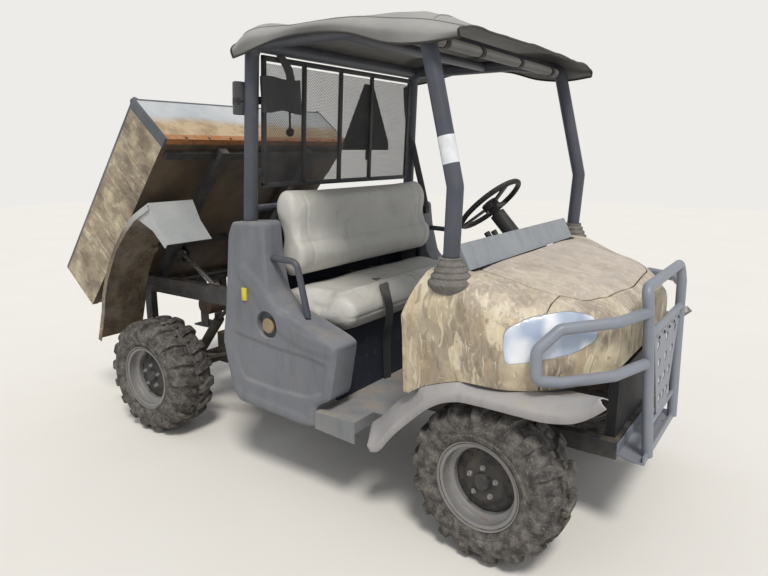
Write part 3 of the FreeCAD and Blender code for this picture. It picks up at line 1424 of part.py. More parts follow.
def make_bed():
    """Tub, its underframe with the hinge pins, the mudguards on its sides and the tailgate."""
    floor_low = s.hinge_z + s.bed_above
    wall = s.bed_wall
    half = s.bed_half_width
    start = bed_x(0)
    end = bed_x(s.bed_length)
    rim = floor_low + s.bed_height
    gate_room = s.gate_wall + 12
    parts = [box("tub_floor", (start + gate_room, -half, floor_low), (end, half, floor_low + s.bed_floor))]
    parts.append(box("tub_front", (end - wall, -half, floor_low), (end, half, rim - s.bed_rail_radius)))
    for name, side in SIDES:
        parts.append(side_box("tub_side_" + name, side, (start, half - wall, floor_low),
                              (end, half, rim - s.bed_rail_radius)))
        rail = doc.addObject("Part::Cylinder", "tub_rail_" + name)
        rail.Placement = Placement(vec(start, side * (half - wall / 2), rim - s.bed_rail_radius),
                                   Rotation(Y_AXIS, 90))
        bind(rail, "Radius", s.bed_rail_radius)
        bind(rail, "Height", s.bed_length)
        parts.append(rail)
    parts.append(cylinder_y("tub_front_rail", end - wall / 2, -half + 2, rim - s.bed_rail_radius,
                            s.bed_rail_radius, half * 2 - 4))
    for step in range(7):
        y = -486 + step * 162
        parts.append(box("floor_rib", (start + gate_room + 30, y - 26, floor_low + s.bed_floor - 1),
                         (end - wall - 30, y + 26, floor_low + s.bed_floor + 7)))
    pin_z = floor_low + 17
    pin_x = start + s.gate_wall / 2
    bores = []
    for y in (half - wall - 1, -half - 1):
        bores.append(cylinder_y("gate_bore", pin_x, y, pin_z, s.gate_pin_radius + s.running_gap, wall + 2))
    tub = cut("tub_cut", fused("tub_parts", parts), fused("tub_bores", bores))
    on_bed("bed_tub", tub)

    inside = half - wall - s.panel_gap
    gate = [box("gate_sheet", (start, -inside, floor_low + 4), (start + s.gate_wall, inside, rim - 8))]
    gate.append(cylinder_y("gate_pin", pin_x, -half + 6, pin_z, s.gate_pin_radius, half * 2 - 12))
    on_bed("tailgate", fused("gate_parts", gate))

    frame_top = floor_low - s.running_gap
    channel_low = frame_top - 50
    frame = []
    for name, side in SIDES:
        frame.append(side_box("channel_" + name, side, (start + 60, 305, channel_low),
                              (end - 45, 355, frame_top)))
        frame.append(side_box("hinge_ear_" + name, side, (s.hinge_x - 26, 340, s.hinge_z - 24),
                              (s.hinge_x + 26, 355, channel_low + 2)))
        low_y, high_y = (340, 440) if side > 0 else (-440, -340)
        frame.append(cylinder_y("hinge_pin_" + name, s.hinge_x, low_y, s.hinge_z, s.hinge_pin_radius, 100))
        for x in (start + 80, start + 420, end - 110):
            frame.append(side_box("outrigger_" + name, side, (x, 350, frame_top - 20), (x + 40, 660, frame_top)))
    for x in (start + 80, start + 420, end - 110):
        frame.append(box("bed_cross", (x, -320, frame_top - 24), (x + 40, 320, frame_top)))
    eye_x = s.hinge_x + s.lift_eye_along
    eye_z = s.hinge_z + s.lift_eye_above
    for y in (s.lift_y - 26, s.lift_y + 18):
        frame.append(box("rod_ear", (eye_x - 60, y, eye_z - 26), (eye_x + 34, y + 8, frame_top)))
    frame.append(box("rod_plate", (eye_x - 60, s.lift_y - 26, frame_top - 8),
                     (eye_x + 34, s.lift_y + 26, frame_top)))
    on_bed("bed_frame", fused("bed_frame_parts", frame))

    guard_line = [(-51, -195), (0, -176), (115, -131), (200, -88), (293, -58), (400, -38), (508, -27),
                  (640, -34), (748, -54), (820, -84), (881, -112)]
    wall = float(s.shell_wall)
    solids = []
    for side in (-1, 1):
        rings = []
        count = len(guard_line)
        for i, (along, up) in enumerate(guard_line):
            a = guard_line[max(i - 1, 0)]
            b = guard_line[min(i + 1, count - 1)]
            length = math.hypot(b[0] - a[0], b[1] - a[1])
            nx = -(b[1] - a[1]) / length
            nz = (b[0] - a[0]) / length
            x = float(start) + along
            z = float(floor_low) + up
            ring = [(470, 0), (735, 0), (745, -8), (745, -34), (740, -34), (740, -10), (732, -wall),
                    (470, -wall)]
            rings.append([vec(x + nx * d, side * y, z + nz * d) for y, d in ring])
        arch = ring_solid(rings)
        x = float(start)
        z = float(floor_low)
        leg_line = [(x + 879, z - 110), (x + 834, z - 216), (x + 818, z - 335)]
        low, high = sorted((side * 470, side * 735))
        leg = prism_y(strip(leg_line, wall), low, high)
        cheek_points = [(x + 748, z - 56), (x + 881, z - 114), (x + 836, z - 216), (x + 820, z - 330),
                        (x + 790, z - 330), (x + 796, z - 216), (x + 770, z - 130)]
        low, high = sorted((side * 729, side * 735))
        cheek = prism_y(cheek_points, low, high)
        low, high = sorted((side * 480, side * 520))
        stay = block((x + 440, low, z - 60), (x + 480, high, z - 20 - float(s.running_gap)))
        solids.append(joined([arch, leg, cheek, stay]))
    guard = doc.addObject("Part::Feature", "bed_fenders")
    guard.Shape = Part.makeCompound(solids)
    on_bed("bed_fenders", guard)


def make_lift():
    """Lift cylinder between its pin on the frame and the ears under the bed."""
    pivot = vec(rear + s.lift_base_x, s.lift_y, s.lift_base_z)
    tilt = math.radians(float(s.bed_tilt))
    along = float(s.lift_eye_along)
    above = float(s.lift_eye_above)
    eye = vec(rear + s.hinge_x + along * math.cos(tilt) - above * math.sin(tilt), s.lift_y,
              s.hinge_z + along * math.sin(tilt) + above * math.cos(tilt))
    run = (eye - pivot).normalize()
    length = (eye - pivot).Length
    barrel_end = 560
    radius = s.lift_barrel_radius
    lug = bar(pivot + vec(0, -12, 0), pivot + vec(0, 12, 0), 22)
    pin = bar(pivot + vec(0, -30, 0), pivot + vec(0, 30, 0), s.lift_pin_radius)
    barrel = bar(pivot + run * 36, pivot + run * barrel_end, radius)
    neck = bar(pivot, pivot + run * 38, 10)
    bore = bar(pivot + run * 60, pivot + run * (barrel_end + 1), s.lift_rod_radius + s.running_gap)
    feature("lift_cylinder", joined([lug, pin, barrel, neck]).cut(bore))
    rod = bar(pivot + run * (length - 560), eye, s.lift_rod_radius)
    eye_lug = bar(eye + vec(0, -12, 0), eye + vec(0, 12, 0), 20)
    hole = bar(eye + vec(0, -13, 0), eye + vec(0, 13, 0), 9)
    feature("lift_rod", joined([rod, eye_lug]).cut(hole))


make_wheels()
make_knuckles()
make_steering_rack()
make_driver_controls()
make_steering_wheel()
make_main_frame()
make_deck_frame()
make_deck_crosses()
make_frame_brackets()
make_engine()
make_driveline()
make_rear_suspension()
make_front_suspension()
make_muffler()
make_floor_pan()
make_cowls()
make_seat()
make_grab_rails()
make_rops()
make_rear_screen()
make_warning_triangle()
make_canopy()
make_front_body()
make_dash()
make_flares()
make_radiator()
make_front_guard()
make_bed()
make_lift()
doc.recompute()

for obj in doc.Objects:
    if any(word in obj.State for word in ("Invalid", "Error")):
        raise RuntimeError("%s did not build: %s" % (obj.Label, obj.State))

os.makedirs("parts", exist_ok=True)
whole = None
for label, obj in nodes.items():
    shape = obj.Shape
    if shape.isNull() or not shape.isValid() or shape.Volume <= 0:
        raise RuntimeError("%s has no valid shape" % label)
    shape.exportStep("parts/%s.step" % label)
    bounds = shape.BoundBox
    if whole is None:
        whole = FreeCAD.BoundBox(bounds)
    whole.add(bounds)
print("pieces %d" % len(nodes))
print("x %.1f to %.1f, y %.1f to %.1f, z %.1f to %.1f" % (
    whole.XMin, whole.XMax, whole.YMin, whole.YMax, whole.ZMin, whole.ZMax))
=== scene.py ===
"""The looks of a side by side utility vehicle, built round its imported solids.

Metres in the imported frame: +X to the front, +Y to the vehicle's left, +Z up. at() takes millimetres ahead
of the rear axle, as the source does, and on_bed() the same for what is drawn on the lowered bed.
"""
import bpy, bmesh
import math
import numpy as np
from mathutils import Matrix, Vector
from mathutils.noise import fractal, noise


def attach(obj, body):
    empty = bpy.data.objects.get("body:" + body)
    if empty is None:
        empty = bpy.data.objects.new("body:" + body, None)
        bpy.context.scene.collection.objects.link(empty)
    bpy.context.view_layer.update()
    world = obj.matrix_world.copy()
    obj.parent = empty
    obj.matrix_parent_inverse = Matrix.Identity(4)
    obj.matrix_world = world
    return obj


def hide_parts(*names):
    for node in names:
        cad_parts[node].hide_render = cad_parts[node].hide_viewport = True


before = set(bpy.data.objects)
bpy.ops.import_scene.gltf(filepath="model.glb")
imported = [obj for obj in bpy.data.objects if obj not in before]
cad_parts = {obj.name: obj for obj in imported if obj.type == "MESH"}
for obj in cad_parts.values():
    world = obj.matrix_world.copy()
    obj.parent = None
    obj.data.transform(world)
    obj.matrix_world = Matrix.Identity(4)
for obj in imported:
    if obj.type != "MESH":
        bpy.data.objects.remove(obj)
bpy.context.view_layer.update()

AXLE = -0.873
WHEELBASE = 1976
HINGE = Vector((-0.289 + AXLE, 0, 0.755))
BED_TILT = math.radians(49.9)
SIDES = (("right", -1), ("left", 1))


def at(x, y, z):
    """A point given in millimetres, with x measured ahead of the rear axle."""
    return Vector((x / 1000 + AXLE, y / 1000, z / 1000))


def in_mm(p):
    """The way back from at()."""
    return (p.x - AXLE) * 1000, p.y * 1000, p.z * 1000


def on_bed(x, y, z):
    """The same for a point drawn on the lowered bed, taken to the tipped bed."""
    p = at(x, y, z) - HINGE
    c, s = math.cos(BED_TILT), math.sin(BED_TILT)
    return HINGE + Vector((p.x * c - p.z * s, p.y, p.x * s + p.z * c))


def tone(r, g, b):
    """A colour given as it looks, from 0 to 255, for a shader's socket."""
    def linear(v):
        v /= 255
        return v / 12.92 if v <= 0.04045 else ((v + 0.055) / 1.055) ** 2.4
    return (linear(r), linear(g), linear(b), 1)


# Shader maths


class Val:
    """A socket that can be calculated with: each operator adds its Math node."""

    def __init__(self, tree, socket):
        self.tree = tree
        self.socket = socket

    def maths(self, operation, *terms, clamp=False):
        node = self.tree.nodes.new("ShaderNodeMath")
        node.operation = operation
        node.use_clamp = clamp
        for term, socket in zip(terms, node.inputs):
            feed(self.tree, term, socket)
        return Val(self.tree, node.outputs[0])

    def __add__(self, other):
        return self.maths("ADD", self, other)

    def __radd__(self, other):
        return self.maths("ADD", other, self)

    def __sub__(self, other):
        return self.maths("SUBTRACT", self, other)

    def __rsub__(self, other):
        return self.maths("SUBTRACT", other, self)

    def __mul__(self, other):
        return self.maths("MULTIPLY", self, other)

    def __rmul__(self, other):
        return self.maths("MULTIPLY", other, self)

    def clamped(self):
        return self.maths("ADD", self, 0.0, clamp=True)

    def most(self, other):
        return self.maths("MAXIMUM", self, other)

    def over(self, low, high):
        """0 where the value is under low, 1 where it is over high, and a slope between."""
        return self.maths("MULTIPLY", self - low, 1 / (high - low), clamp=True)


def feed(tree, value, socket):
    if isinstance(value, Val):
        tree.links.new(value.socket, socket)
    else:
        socket.default_value = value


class Finish:
    """A material and the nodes that its maker adds."""

    def __init__(self, name):
        self.material = bpy.data.materials.new(name)
        self.material.use_nodes = True
        self.tree = self.material.node_tree
        self.tree.nodes.clear()
        self.out = self.tree.nodes.new("ShaderNodeOutputMaterial")
        self.place = self.node("ShaderNodeTexCoord", output="Object")
        self.facing = self.node("ShaderNodeTexCoord", output="Normal")

    def node(self, kind, sockets=None, output=0, **settings):
        node = self.tree.nodes.new(kind)
        for key, value in settings.items():
            setattr(node, key, value)
        for key, value in (sockets or {}).items():
            feed(self.tree, value, node.inputs[key])
        return Val(self.tree, node.outputs[output])

    def part(self, vector, axis):
        return self.node("ShaderNodeSeparateXYZ", {0: vector}, output="XYZ".index(axis))

    def stretched(self, scale, turn=(0, 0, 0), where=None):
        return self.node("ShaderNodeMapping", {"Vector": where or self.place, "Scale": scale,
                                               "Rotation": turn})

    def noise(self, scale, detail=3.0, rough=0.5, where=None, output=0, distortion=0.0):
        return self.node("ShaderNodeTexNoise", {"Vector": where or self.place, "Scale": scale,
                         "Detail": detail, "Roughness": rough, "Distortion": distortion}, output=output)

    def cells(self, scale, where=None, output="Distance", feature="F1"):
        return self.node("ShaderNodeTexVoronoi", {"Vector": where or self.place, "Scale": scale},
                         output=output, feature=feature)

    def mix(self, factor, a, b):
        return self.node("ShaderNodeMix", {0: factor, 6: a, 7: b}, output=2, data_type="RGBA")

    def ramp(self, value, stops):
        node = self.tree.nodes.new("ShaderNodeValToRGB")
        while len(node.color_ramp.elements) < len(stops):
            node.color_ramp.elements.new(1.0)
        for element, (place, colour) in zip(node.color_ramp.elements, stops):
            element.position = place
            element.color = colour
        feed(self.tree, value, node.inputs[0])
        return Val(self.tree, node.outputs[0])

    def bump(self, height, depth, strength=1.0, over=None):
        sockets = {"Height": height, "Distance": depth, "Strength": strength}
        if over is not None:
            sockets["Normal"] = over
        return self.node("ShaderNodeBump", sockets)

    def edges(self, width, low=0.02, high=0.25):
        """1 along the convex and concave edges, 0 on the flat."""
        soft = self.node("ShaderNodeBevel", {"Radius": width}, samples=3)
        sharp = self.node("ShaderNodeNewGeometry", output="Normal")
        agree = self.node("ShaderNodeVectorMath", {0: soft, 1: sharp}, output="Value",
                          operation="DOT_PRODUCT")
        return (1 - agree).over(low, high)

    def upward(self, low=0.3, high=0.9):
        """1 where a surface faces up at rest, where dust lies, the sun bleaches and light is painted on."""
        return self.part(self.facing, "Z").over(low, high)

    def shade(self, colour, roughness, normal=None, metallic=0.0, **more):
        sockets = {"Base Color": colour, "Roughness": roughness, "Metallic": metallic}
        if normal is not None:
            sockets["Normal"] = normal
        for key, value in more.items():
            sockets[key.replace("_", " ")] = value
        shader = self.node("ShaderNodeBsdfPrincipled", sockets)
        self.tree.links.new(shader.socket, self.out.inputs["Surface"])
        return self.material


DUST = tone(178, 160, 136)
DIRT = tone(120, 103, 84)


def shaded(colour, share, more=0):
    """A socket colour made darker or lighter as it looks, on the scale from 0 to 255."""
    def back(v):
        return 255 * (v * 12.92 if v <= 0.0031308 else 1.055 * v ** (1 / 2.4) - 0.055)
    return tone(*(min(255, back(v) * share + more) for v in colour[:3]))


def moulded(name, base, bleach_and_light, dust, gloss=0.62):
    """Rough moulded plastic, lighter on top from sun bleaching and painted light, scuffed at its edges."""
    f = Finish(name)
    cloud = f.noise(2.6, 4, 0.55)
    streak = f.noise(5.0, 4, 0.6, where=f.stretched((3, 3, 0.6)))
    colour = f.mix(cloud.over(0.3, 0.7) * 0.5, base, shaded(base, 1.12, 6))
    colour = f.mix(streak.over(0.5, 0.72) * 0.35, colour, shaded(base, 0.72))
    top = f.upward(0.2, 0.95)
    pale = shaded(base, 0.45, 104)
    # sun bleaching and painted light: what faces up is lifted towards a pale grey
    colour = f.mix(top * bleach_and_light * cloud.over(0.1, 0.6), colour, pale)
    worn = f.edges(0.006) * f.noise(22, 3).over(0.4, 0.62)
    colour = f.mix(worn * 0.45, colour, pale)
    lying = (top * 0.8 + 0.2) * f.noise(9, 5, 0.65).over(0.42, 0.72) * dust
    colour = f.mix(lying, colour, DUST)
    scratch = f.noise(60, 2, 0.5, where=f.stretched((6, 1, 0.4), (0.2, 0.5, 0.3)), distortion=0.4)
    colour = f.mix(scratch.over(0.64, 0.74) * 0.22, colour, pale)
    rough = gloss + cloud * 0.14 + lying * 0.2
    normal = f.bump(f.noise(900, 2, 0.6), 0.00025, 0.7)
    normal = f.bump(f.noise(7, 2), 0.0012, 0.35, over=normal)
    return f.shade(colour, rough.clamped(), normal, Specular_IOR_Level=0.35)


def painted(name, base, dust, chips, gloss, rust=0.3):
    """Paint on steel, chipped at its edges, with dust on what faces up."""
    f = Finish(name)
    cloud = f.noise(4, 4, 0.6)
    colour = f.mix(cloud.over(0.3, 0.75) * 0.5, base, shaded(base, 1.15, 8))
    edge = f.edges(0.004, 0.03, 0.3)
    chipped = (edge * 0.8 + 0.12) * f.noise(48, 5, 0.7).over(0.6, 0.68) * chips
    bare = f.mix(f.noise(90, 2) * rust * 1.6, tone(150, 148, 145), tone(112, 66, 40))
    colour = f.mix(chipped, colour, bare)
    lying = (f.upward(0.1, 0.95) * 0.75 + 0.25) * f.noise(11, 5, 0.65).over(0.4, 0.75) * dust
    colour = f.mix(lying, colour, DUST)
    rough = gloss + cloud * 0.15 + lying * 0.3 + chipped * 0.2
    normal = f.bump(f.noise(320, 2), 0.00012, 0.5)
    normal = f.bump(chipped, 0.0003, 0.6, over=normal)
    return f.shade(colour, rough.clamped(), normal, Specular_IOR_Level=0.5)


def bed_place(f):
    """Object coordinates turned so that they read as on the lowered bed."""
    c, s = math.cos(BED_TILT), math.sin(BED_TILT)
    back = HINGE - Vector((HINGE.x * c + HINGE.z * s, 0, HINGE.z * c - HINGE.x * s))
    return f.node("ShaderNodeMapping", {"Vector": f.place, "Rotation": (0, BED_TILT, 0),
                                        "Location": tuple(back)})


def field_print(f, place):
    """The colour of a printed field pattern: soft ground, bark, leaves and bent blades."""
    wander = f.noise(4.5, 3, 0.55, output="Color", where=place)
    turned = f.node("ShaderNodeVectorMath", {0: wander, 1: (0.5, 0.5, 0.5)}, operation="SUBTRACT")
    push = f.node("ShaderNodeVectorMath", {0: turned, "Scale": 0.11}, operation="SCALE")
    where = f.node("ShaderNodeVectorMath", {0: place, 1: push}, operation="ADD")
    colour = f.ramp(f.noise(6, 4, 0.62, where=where), [
        (0.3, tone(150, 140, 118)), (0.44, tone(178, 164, 138)), (0.55, tone(200, 186, 154)),
        (0.68, tone(218, 206, 178))])
    bark = f.noise(5.2, 3, 0.5, where=f.stretched((1.3, 1.3, 0.7), (0.2, 0.1, 0), where)).over(0.52, 0.56)
    grain = f.noise(30, 3, 0.6, where=f.stretched((3, 3, 0.3), (0.15, 0.1, 0), where)).over(0.4, 0.6)
    colour = f.mix(bark * 0.72, colour, f.mix(grain, tone(116, 102, 88), tone(156, 140, 120)))
    for size, turn, low, share in ((10, (0.5, 0.3, 0.2), 0.5, 0.62), (13, (-0.7, -0.4, 0.9), 0.55, 0.62),
                                   (17, (1.3, 0.9, 0.4), 0.6, 0.6)):
        spread = f.stretched((1.15, 1.15, 0.42), turn, where)
        cell, pick = f.cells(size, where=spread), f.cells(size, where=spread, output="Color")
        leaf = (1 - cell.over(0.3, 0.35)) * f.part(pick, "X").over(low, low + 0.02)
        ink = f.ramp(f.part(pick, "Y"), [(0.1, tone(118, 110, 84)), (0.4, tone(172, 148, 114)),
                                         (0.75, tone(224, 212, 182))])
        colour = f.mix(leaf * (0.75 + cell) * share, colour, ink)
    for lean, size, low, ink, share in ((0.35, 19, 0.58, tone(228, 216, 186), 0.6),
                                        (-0.5, 22, 0.59, tone(112, 98, 78), 0.55),
                                        (0.9, 15, 0.61, tone(188, 158, 118), 0.5)):
        stroke = f.noise(size, 2, 0.5, distortion=0.6,
                         where=f.stretched((2.6, 2.6, 0.3), (lean, lean * 0.8, lean * 0.3), where))
        colour = f.mix(stroke.over(low, low + 0.05) * share, colour, ink)
    fleck = f.noise(120, 3, 0.6, where=where)
    return f.mix(fleck.over(0.56, 0.72) * 0.22, colour, tone(112, 98, 78))


def sun_and_wear(f, colour, sun, dirt, gloss):
    """A printed panel's top, bleached and lifted by painted light, its rubbed places, dirt and pale edges."""
    up = f.upward(0.25, 0.85)
    # painted light: what faces up is lifted towards the pale colour of a sunlit hood, beside an even fading
    # everywhere
    fade_and_painted_light = (up * sun + 0.14) * (f.noise(2.2, 4, 0.6).over(0.2, 0.7) * 0.5 + 0.6)
    colour = f.mix(fade_and_painted_light.clamped(), colour, tone(200, 188, 178))
    wipe = f.noise(12, 4, 0.6, where=f.stretched((0.8, 2.4, 1), (0, 0, 0.6)), distortion=1.2)
    colour = f.mix(up * wipe.over(0.52, 0.66) * 0.35, colour, tone(226, 218, 206))
    scrape = f.noise(42, 3, 0.5, where=f.stretched((0.5, 4, 5), (0.1, 0.25, 0.5)))
    colour = f.mix(scrape.over(0.67, 0.72) * 0.45, colour, tone(228, 220, 206))
    lying = f.noise(8, 5, 0.65).over(0.5, 0.8) * dirt
    colour = f.mix(lying, colour, DIRT)
    worn = f.edges(0.004) * f.noise(35, 3).over(0.45, 0.6)
    colour = f.mix(worn * 0.6, colour, tone(178, 166, 148))
    rough = gloss + f.noise(5, 4) * 0.2 + lying * 0.25
    return colour, rough.clamped()


def camouflage(name, sun):
    """A printed field pattern of straw, bark and shade, faded by the sun, with painted light on what faces
    up.
    """
    f = Finish(name)
    colour, rough = sun_and_wear(f, field_print(f, f.place), sun, 0.3, 0.42)
    return f.shade(colour, rough, f.bump(f.noise(5, 3), 0.002, 0.2), Specular_IOR_Level=0.4)


BED_SIDE = 0.654  # inner face of the side walls
BED_BACK, BED_FRONT = -0.457, 0.657  # inner faces of tailgate and front wall, ahead of the axle
FRONT_SKIN, FLANGE_START = 0.686, 0.64  # front wall's outer face, and where its side flange begins
FLOOR_TOP, FLOOR_UNDER, RIM_LOW = 0.8385, 0.8156, 1.099
FOOT_HEIGHT, FOOT_START, FLANGE_SIDE = 0.846, 0.655, 0.672  # where the front wall's foot rusts


def bed_steel(name):
    """The bed: printed outside, bare dusty steel inside and on its front wall, rust along the foot."""
    f = Finish(name)
    place = bed_place(f)
    x, y, z = (f.part(place, axis) for axis in "XYZ")
    printed, rough = sun_and_wear(f, field_print(f, place), 0.2, 0.6, 0.5)
    printed = f.mix(f.noise(5, 5, 0.7).over(0.4, 0.6) * 0.6 + 0.12, printed, tone(90, 78, 64))
    cloud = f.noise(3, 5, 0.6, where=place)
    wall = f.mix(cloud.over(0.35, 0.65), tone(176, 182, 188), tone(206, 208, 206))
    low = 1 - (z + cloud * 0.16).over(1.0, 1.06)
    wall = f.mix(low * 0.85, wall, tone(196, 168, 126))
    wall = f.mix(low * f.noise(14, 5, 0.7, where=place).over(0.45, 0.6) * 0.7, wall, tone(150, 128, 98))
    floor = f.mix(cloud.over(0.3, 0.7), tone(128, 122, 112), tone(158, 146, 126))
    floor = f.mix(f.noise(20, 5, 0.7, where=f.stretched((0.4, 2, 2), (0, 0, 0), place)).over(0.5, 0.66) * 0.6,
                  floor, tone(96, 92, 88))
    aside = y.maths("ABSOLUTE", y)
    inside = (BED_SIDE - aside).over(0, 0.001) * (BED_FRONT + AXLE - x).over(0, 0.001)
    inside = inside * (z - FLOOR_TOP).over(0, 0.001) * (x - (BED_BACK + AXLE)).over(0, 0.001)
    colour = f.mix(inside, printed, floor)
    colour = f.mix((x - (FRONT_SKIN + AXLE)).over(0, 0.002), colour, wall)
    # bare brown steel under the floor, made dark with painted shade
    under = 1 - (z - FLOOR_UNDER).over(0, 0.001)
    colour = f.mix(under, colour, f.mix(cloud.over(0.4, 0.7), tone(74, 66, 58), tone(112, 94, 72)))
    foot = (x - (FOOT_START + AXLE)).over(0, 0.01) * (1 - (z - FOOT_HEIGHT).over(0, 0.006))
    rusty = foot + f.edges(0.006) * f.noise(9, 4).over(0.5, 0.6) * 0.5
    rusty = rusty * (f.noise(30, 5, 0.7).over(0.3, 0.55) * 0.6 + 0.4)
    colour = f.mix(rusty.clamped(), colour, f.mix(f.noise(60, 4), tone(150, 92, 52), tone(186, 126, 76)))
    rim = (z - RIM_LOW).over(0, 0.003)
    flange = (x - (FLANGE_START + AXLE)).over(0, 0.002) * (aside - FLANGE_SIDE).over(0, 0.002)
    edge_paint = f.mix(cloud.over(0.35, 0.7), tone(78, 82, 88), tone(112, 114, 116))
    colour = f.mix(rim.most(flange), colour, edge_paint)
    normal = f.bump(f.noise(6, 4, 0.6), 0.003, 0.3)
    normal = f.bump(f.noise(170, 4, 0.7), 0.0003, 0.4, over=normal)
    return f.shade(colour, rough, normal, Specular_IOR_Level=0.4)


def mudguard(name):
    """Bleached mudguard whose arch behind its front cheek is brown: caked dirt, with painted shade."""
    f = Finish(name)
    place = bed_place(f)
    cloud = f.noise(4, 5, 0.6)
    colour = f.mix(cloud.over(0.3, 0.7), tone(160, 164, 166), tone(184, 186, 184))
    # caked dirt and painted shade: the arch, turned away from the sun, is made brown by its place along the
    # bed
    arch = 1 - (f.part(place, "X") - (0.14 + AXLE)).over(-0.02, 0.16)
    caked = (arch * 0.9 + 0.05) * (cloud.over(0.2, 0.5) * 0.4 + 0.6)
    mud_and_shade = f.mix(f.noise(13, 5, 0.7).over(0.4, 0.65), tone(92, 78, 62), tone(138, 120, 94))
    colour = f.mix(caked, colour, mud_and_shade)
    scuff = f.noise(30, 3, 0.5, where=f.stretched((0.6, 3, 3), (0.2, 0.4, 0.1))).over(0.64, 0.72)
    colour = f.mix(scuff * 0.35, colour, tone(206, 204, 198))
    worn = f.edges(0.005) * f.noise(22, 3).over(0.4, 0.62)
    colour = f.mix(worn * 0.5, colour, tone(196, 196, 192))
    normal = f.bump(f.noise(500, 2, 0.6), 0.0003, 0.5)
    return f.shade(colour, (0.6 + cloud * 0.2).clamped(), normal, Specular_IOR_Level=0.35)


def cloth(name, base, weave=900.0, dust=0.4):
    """Coated woven cloth with stains and a fine weave, and painted shade where it faces down."""
    f = Finish(name)
    warp, weft = (f.node("ShaderNodeTexWave", {"Vector": f.place, "Scale": weave / 6, "Distortion": 0.3},
                         output=1, bands_direction=way) for way in "XY")
    cloud = f.noise(3, 5, 0.62)
    colour = f.mix(cloud.over(0.3, 0.7) * 0.6, base, shaded(base, 0.78))
    stain = f.noise(1.7, 6, 0.7, distortion=0.6)
    colour = f.mix(stain.over(0.52, 0.7) * 0.4, colour, shaded(base, 0.6, 8))
    up = f.upward(0.0, 0.8)
    colour = f.mix(up * dust * f.noise(7, 5, 0.7).over(0.35, 0.75), colour, tone(176, 168, 156))
    # painted shade: cloth that faces down is darkened towards near black
    colour = f.mix((1 - f.part(f.facing, "Z").over(-0.6, 0.1)) * 0.62, colour, tone(42, 40, 38))
    normal = f.bump(warp * 0.5 + weft * 0.5, 0.0003, 0.35)
    normal = f.bump(f.noise(16, 4, 0.6), 0.004, 0.4, over=normal)
    return f.shade(colour, 0.82 + cloud * 0.1, normal, Sheen_Weight=0.15)


def vinyl(name, base):
    """Grained seat vinyl with dust rubbed into it."""
    f = Finish(name)
    cloud = f.noise(4, 4, 0.6)
    colour = f.mix(cloud.over(0.3, 0.75) * 0.5, base, shaded(base, 0.84))
    colour = f.mix(f.upward(0.2, 0.9) * f.noise(12, 5, 0.6).over(0.45, 0.75) * 0.35, colour, DUST)
    smear = f.noise(7, 5, 0.65, where=f.stretched((1, 2.5, 1), (0, 0, 0.5)), distortion=0.6)
    colour = f.mix(smear.over(0.55, 0.72) * 0.35, colour, shaded(base, 0.68))
    crease = f.cells(26, where=f.stretched((1, 0.6, 1)), feature="DISTANCE_TO_EDGE").over(0.0, 0.05)
    normal = f.bump(f.cells(520), 0.0004, 0.4)
    normal = f.bump(crease, 0.0009, 0.18, over=normal)
    return f.shade(colour, 0.4 + cloud * 0.2, normal, Specular_IOR_Level=0.45)


def rubber(name, base, dust=0.6, mark=None):
    """Rubber with dust."""
    f = Finish(name)
    cloud = f.noise(6, 5, 0.65)
    colour = f.mix(cloud.over(0.35, 0.7) * 0.5, base, shaded(base, 0.7))
    colour = f.mix(f.noise(24, 5, 0.7).over(0.4, 0.7) * dust, colour, tone(160, 153, 145))
    if mark:
        colour = f.mix(f.edges(0.005) * f.noise(40, 3).over(0.35, 0.6) * 0.5, colour, mark)
    colour = f.mix(f.noise(140, 3).over(0.62, 0.7) * 0.3, colour, tone(190, 178, 160))
    normal = f.bump(f.noise(260, 4, 0.7), 0.0006, 0.5)
    return f.shade(colour, 0.86 + cloud * 0.08, normal, Specular_IOR_Level=0.25)


def rough_iron(name, base, rust=0.4, dust=0.5, metallic=0.0):
    """Cast or forged parts under the body, with rust and caked dust."""
    f = Finish(name)
    cloud = f.noise(9, 5, 0.65)
    colour = f.mix(cloud.over(0.3, 0.7), base, shaded(base, 0.6))
    colour = f.mix(f.noise(17, 5, 0.7).over(0.5, 0.68) * rust, colour, tone(112, 72, 46))
    lying = (f.upward(-0.1, 0.9) * 0.6 + 0.4) * f.noise(13, 5, 0.7).over(0.38, 0.7) * dust
    colour = f.mix(lying, colour, tone(150, 134, 114))
    normal = f.bump(f.noise(180, 5, 0.7), 0.0006, 0.6)
    return f.shade(colour, 0.72 + cloud * 0.2, normal, metallic)


def chrome(name):
    """Bright rod with dirt and wipe marks."""
    f = Finish(name)
    wipe = f.noise(18, 4, 0.6, where=f.stretched((1, 1, 6)))
    colour = f.mix(f.noise(9, 4).over(0.5, 0.7) * 0.4, tone(200, 200, 200), DIRT)
    return f.shade(colour, 0.18 + wipe * 0.25, None, 0.9)


def silver_rim(name):
    """Silver painted wheel, dusty, with rusty chips at its edges."""
    f = Finish(name)
    cloud = f.noise(10, 5, 0.65)
    colour = f.mix(cloud.over(0.3, 0.72) * 0.5, tone(140, 139, 138), tone(112, 110, 108))
    colour = f.mix(f.noise(30, 5, 0.7).over(0.5, 0.7) * 0.5, colour, tone(146, 136, 124))
    chipped = f.edges(0.004, 0.03, 0.3) * f.noise(60, 4, 0.7).over(0.5, 0.62)
    colour = f.mix(chipped * 0.6, colour, tone(118, 86, 62))
    normal = f.bump(f.noise(300, 3), 0.0002, 0.5)
    return f.shade(colour, 0.46 + cloud * 0.2, normal, 0.25)


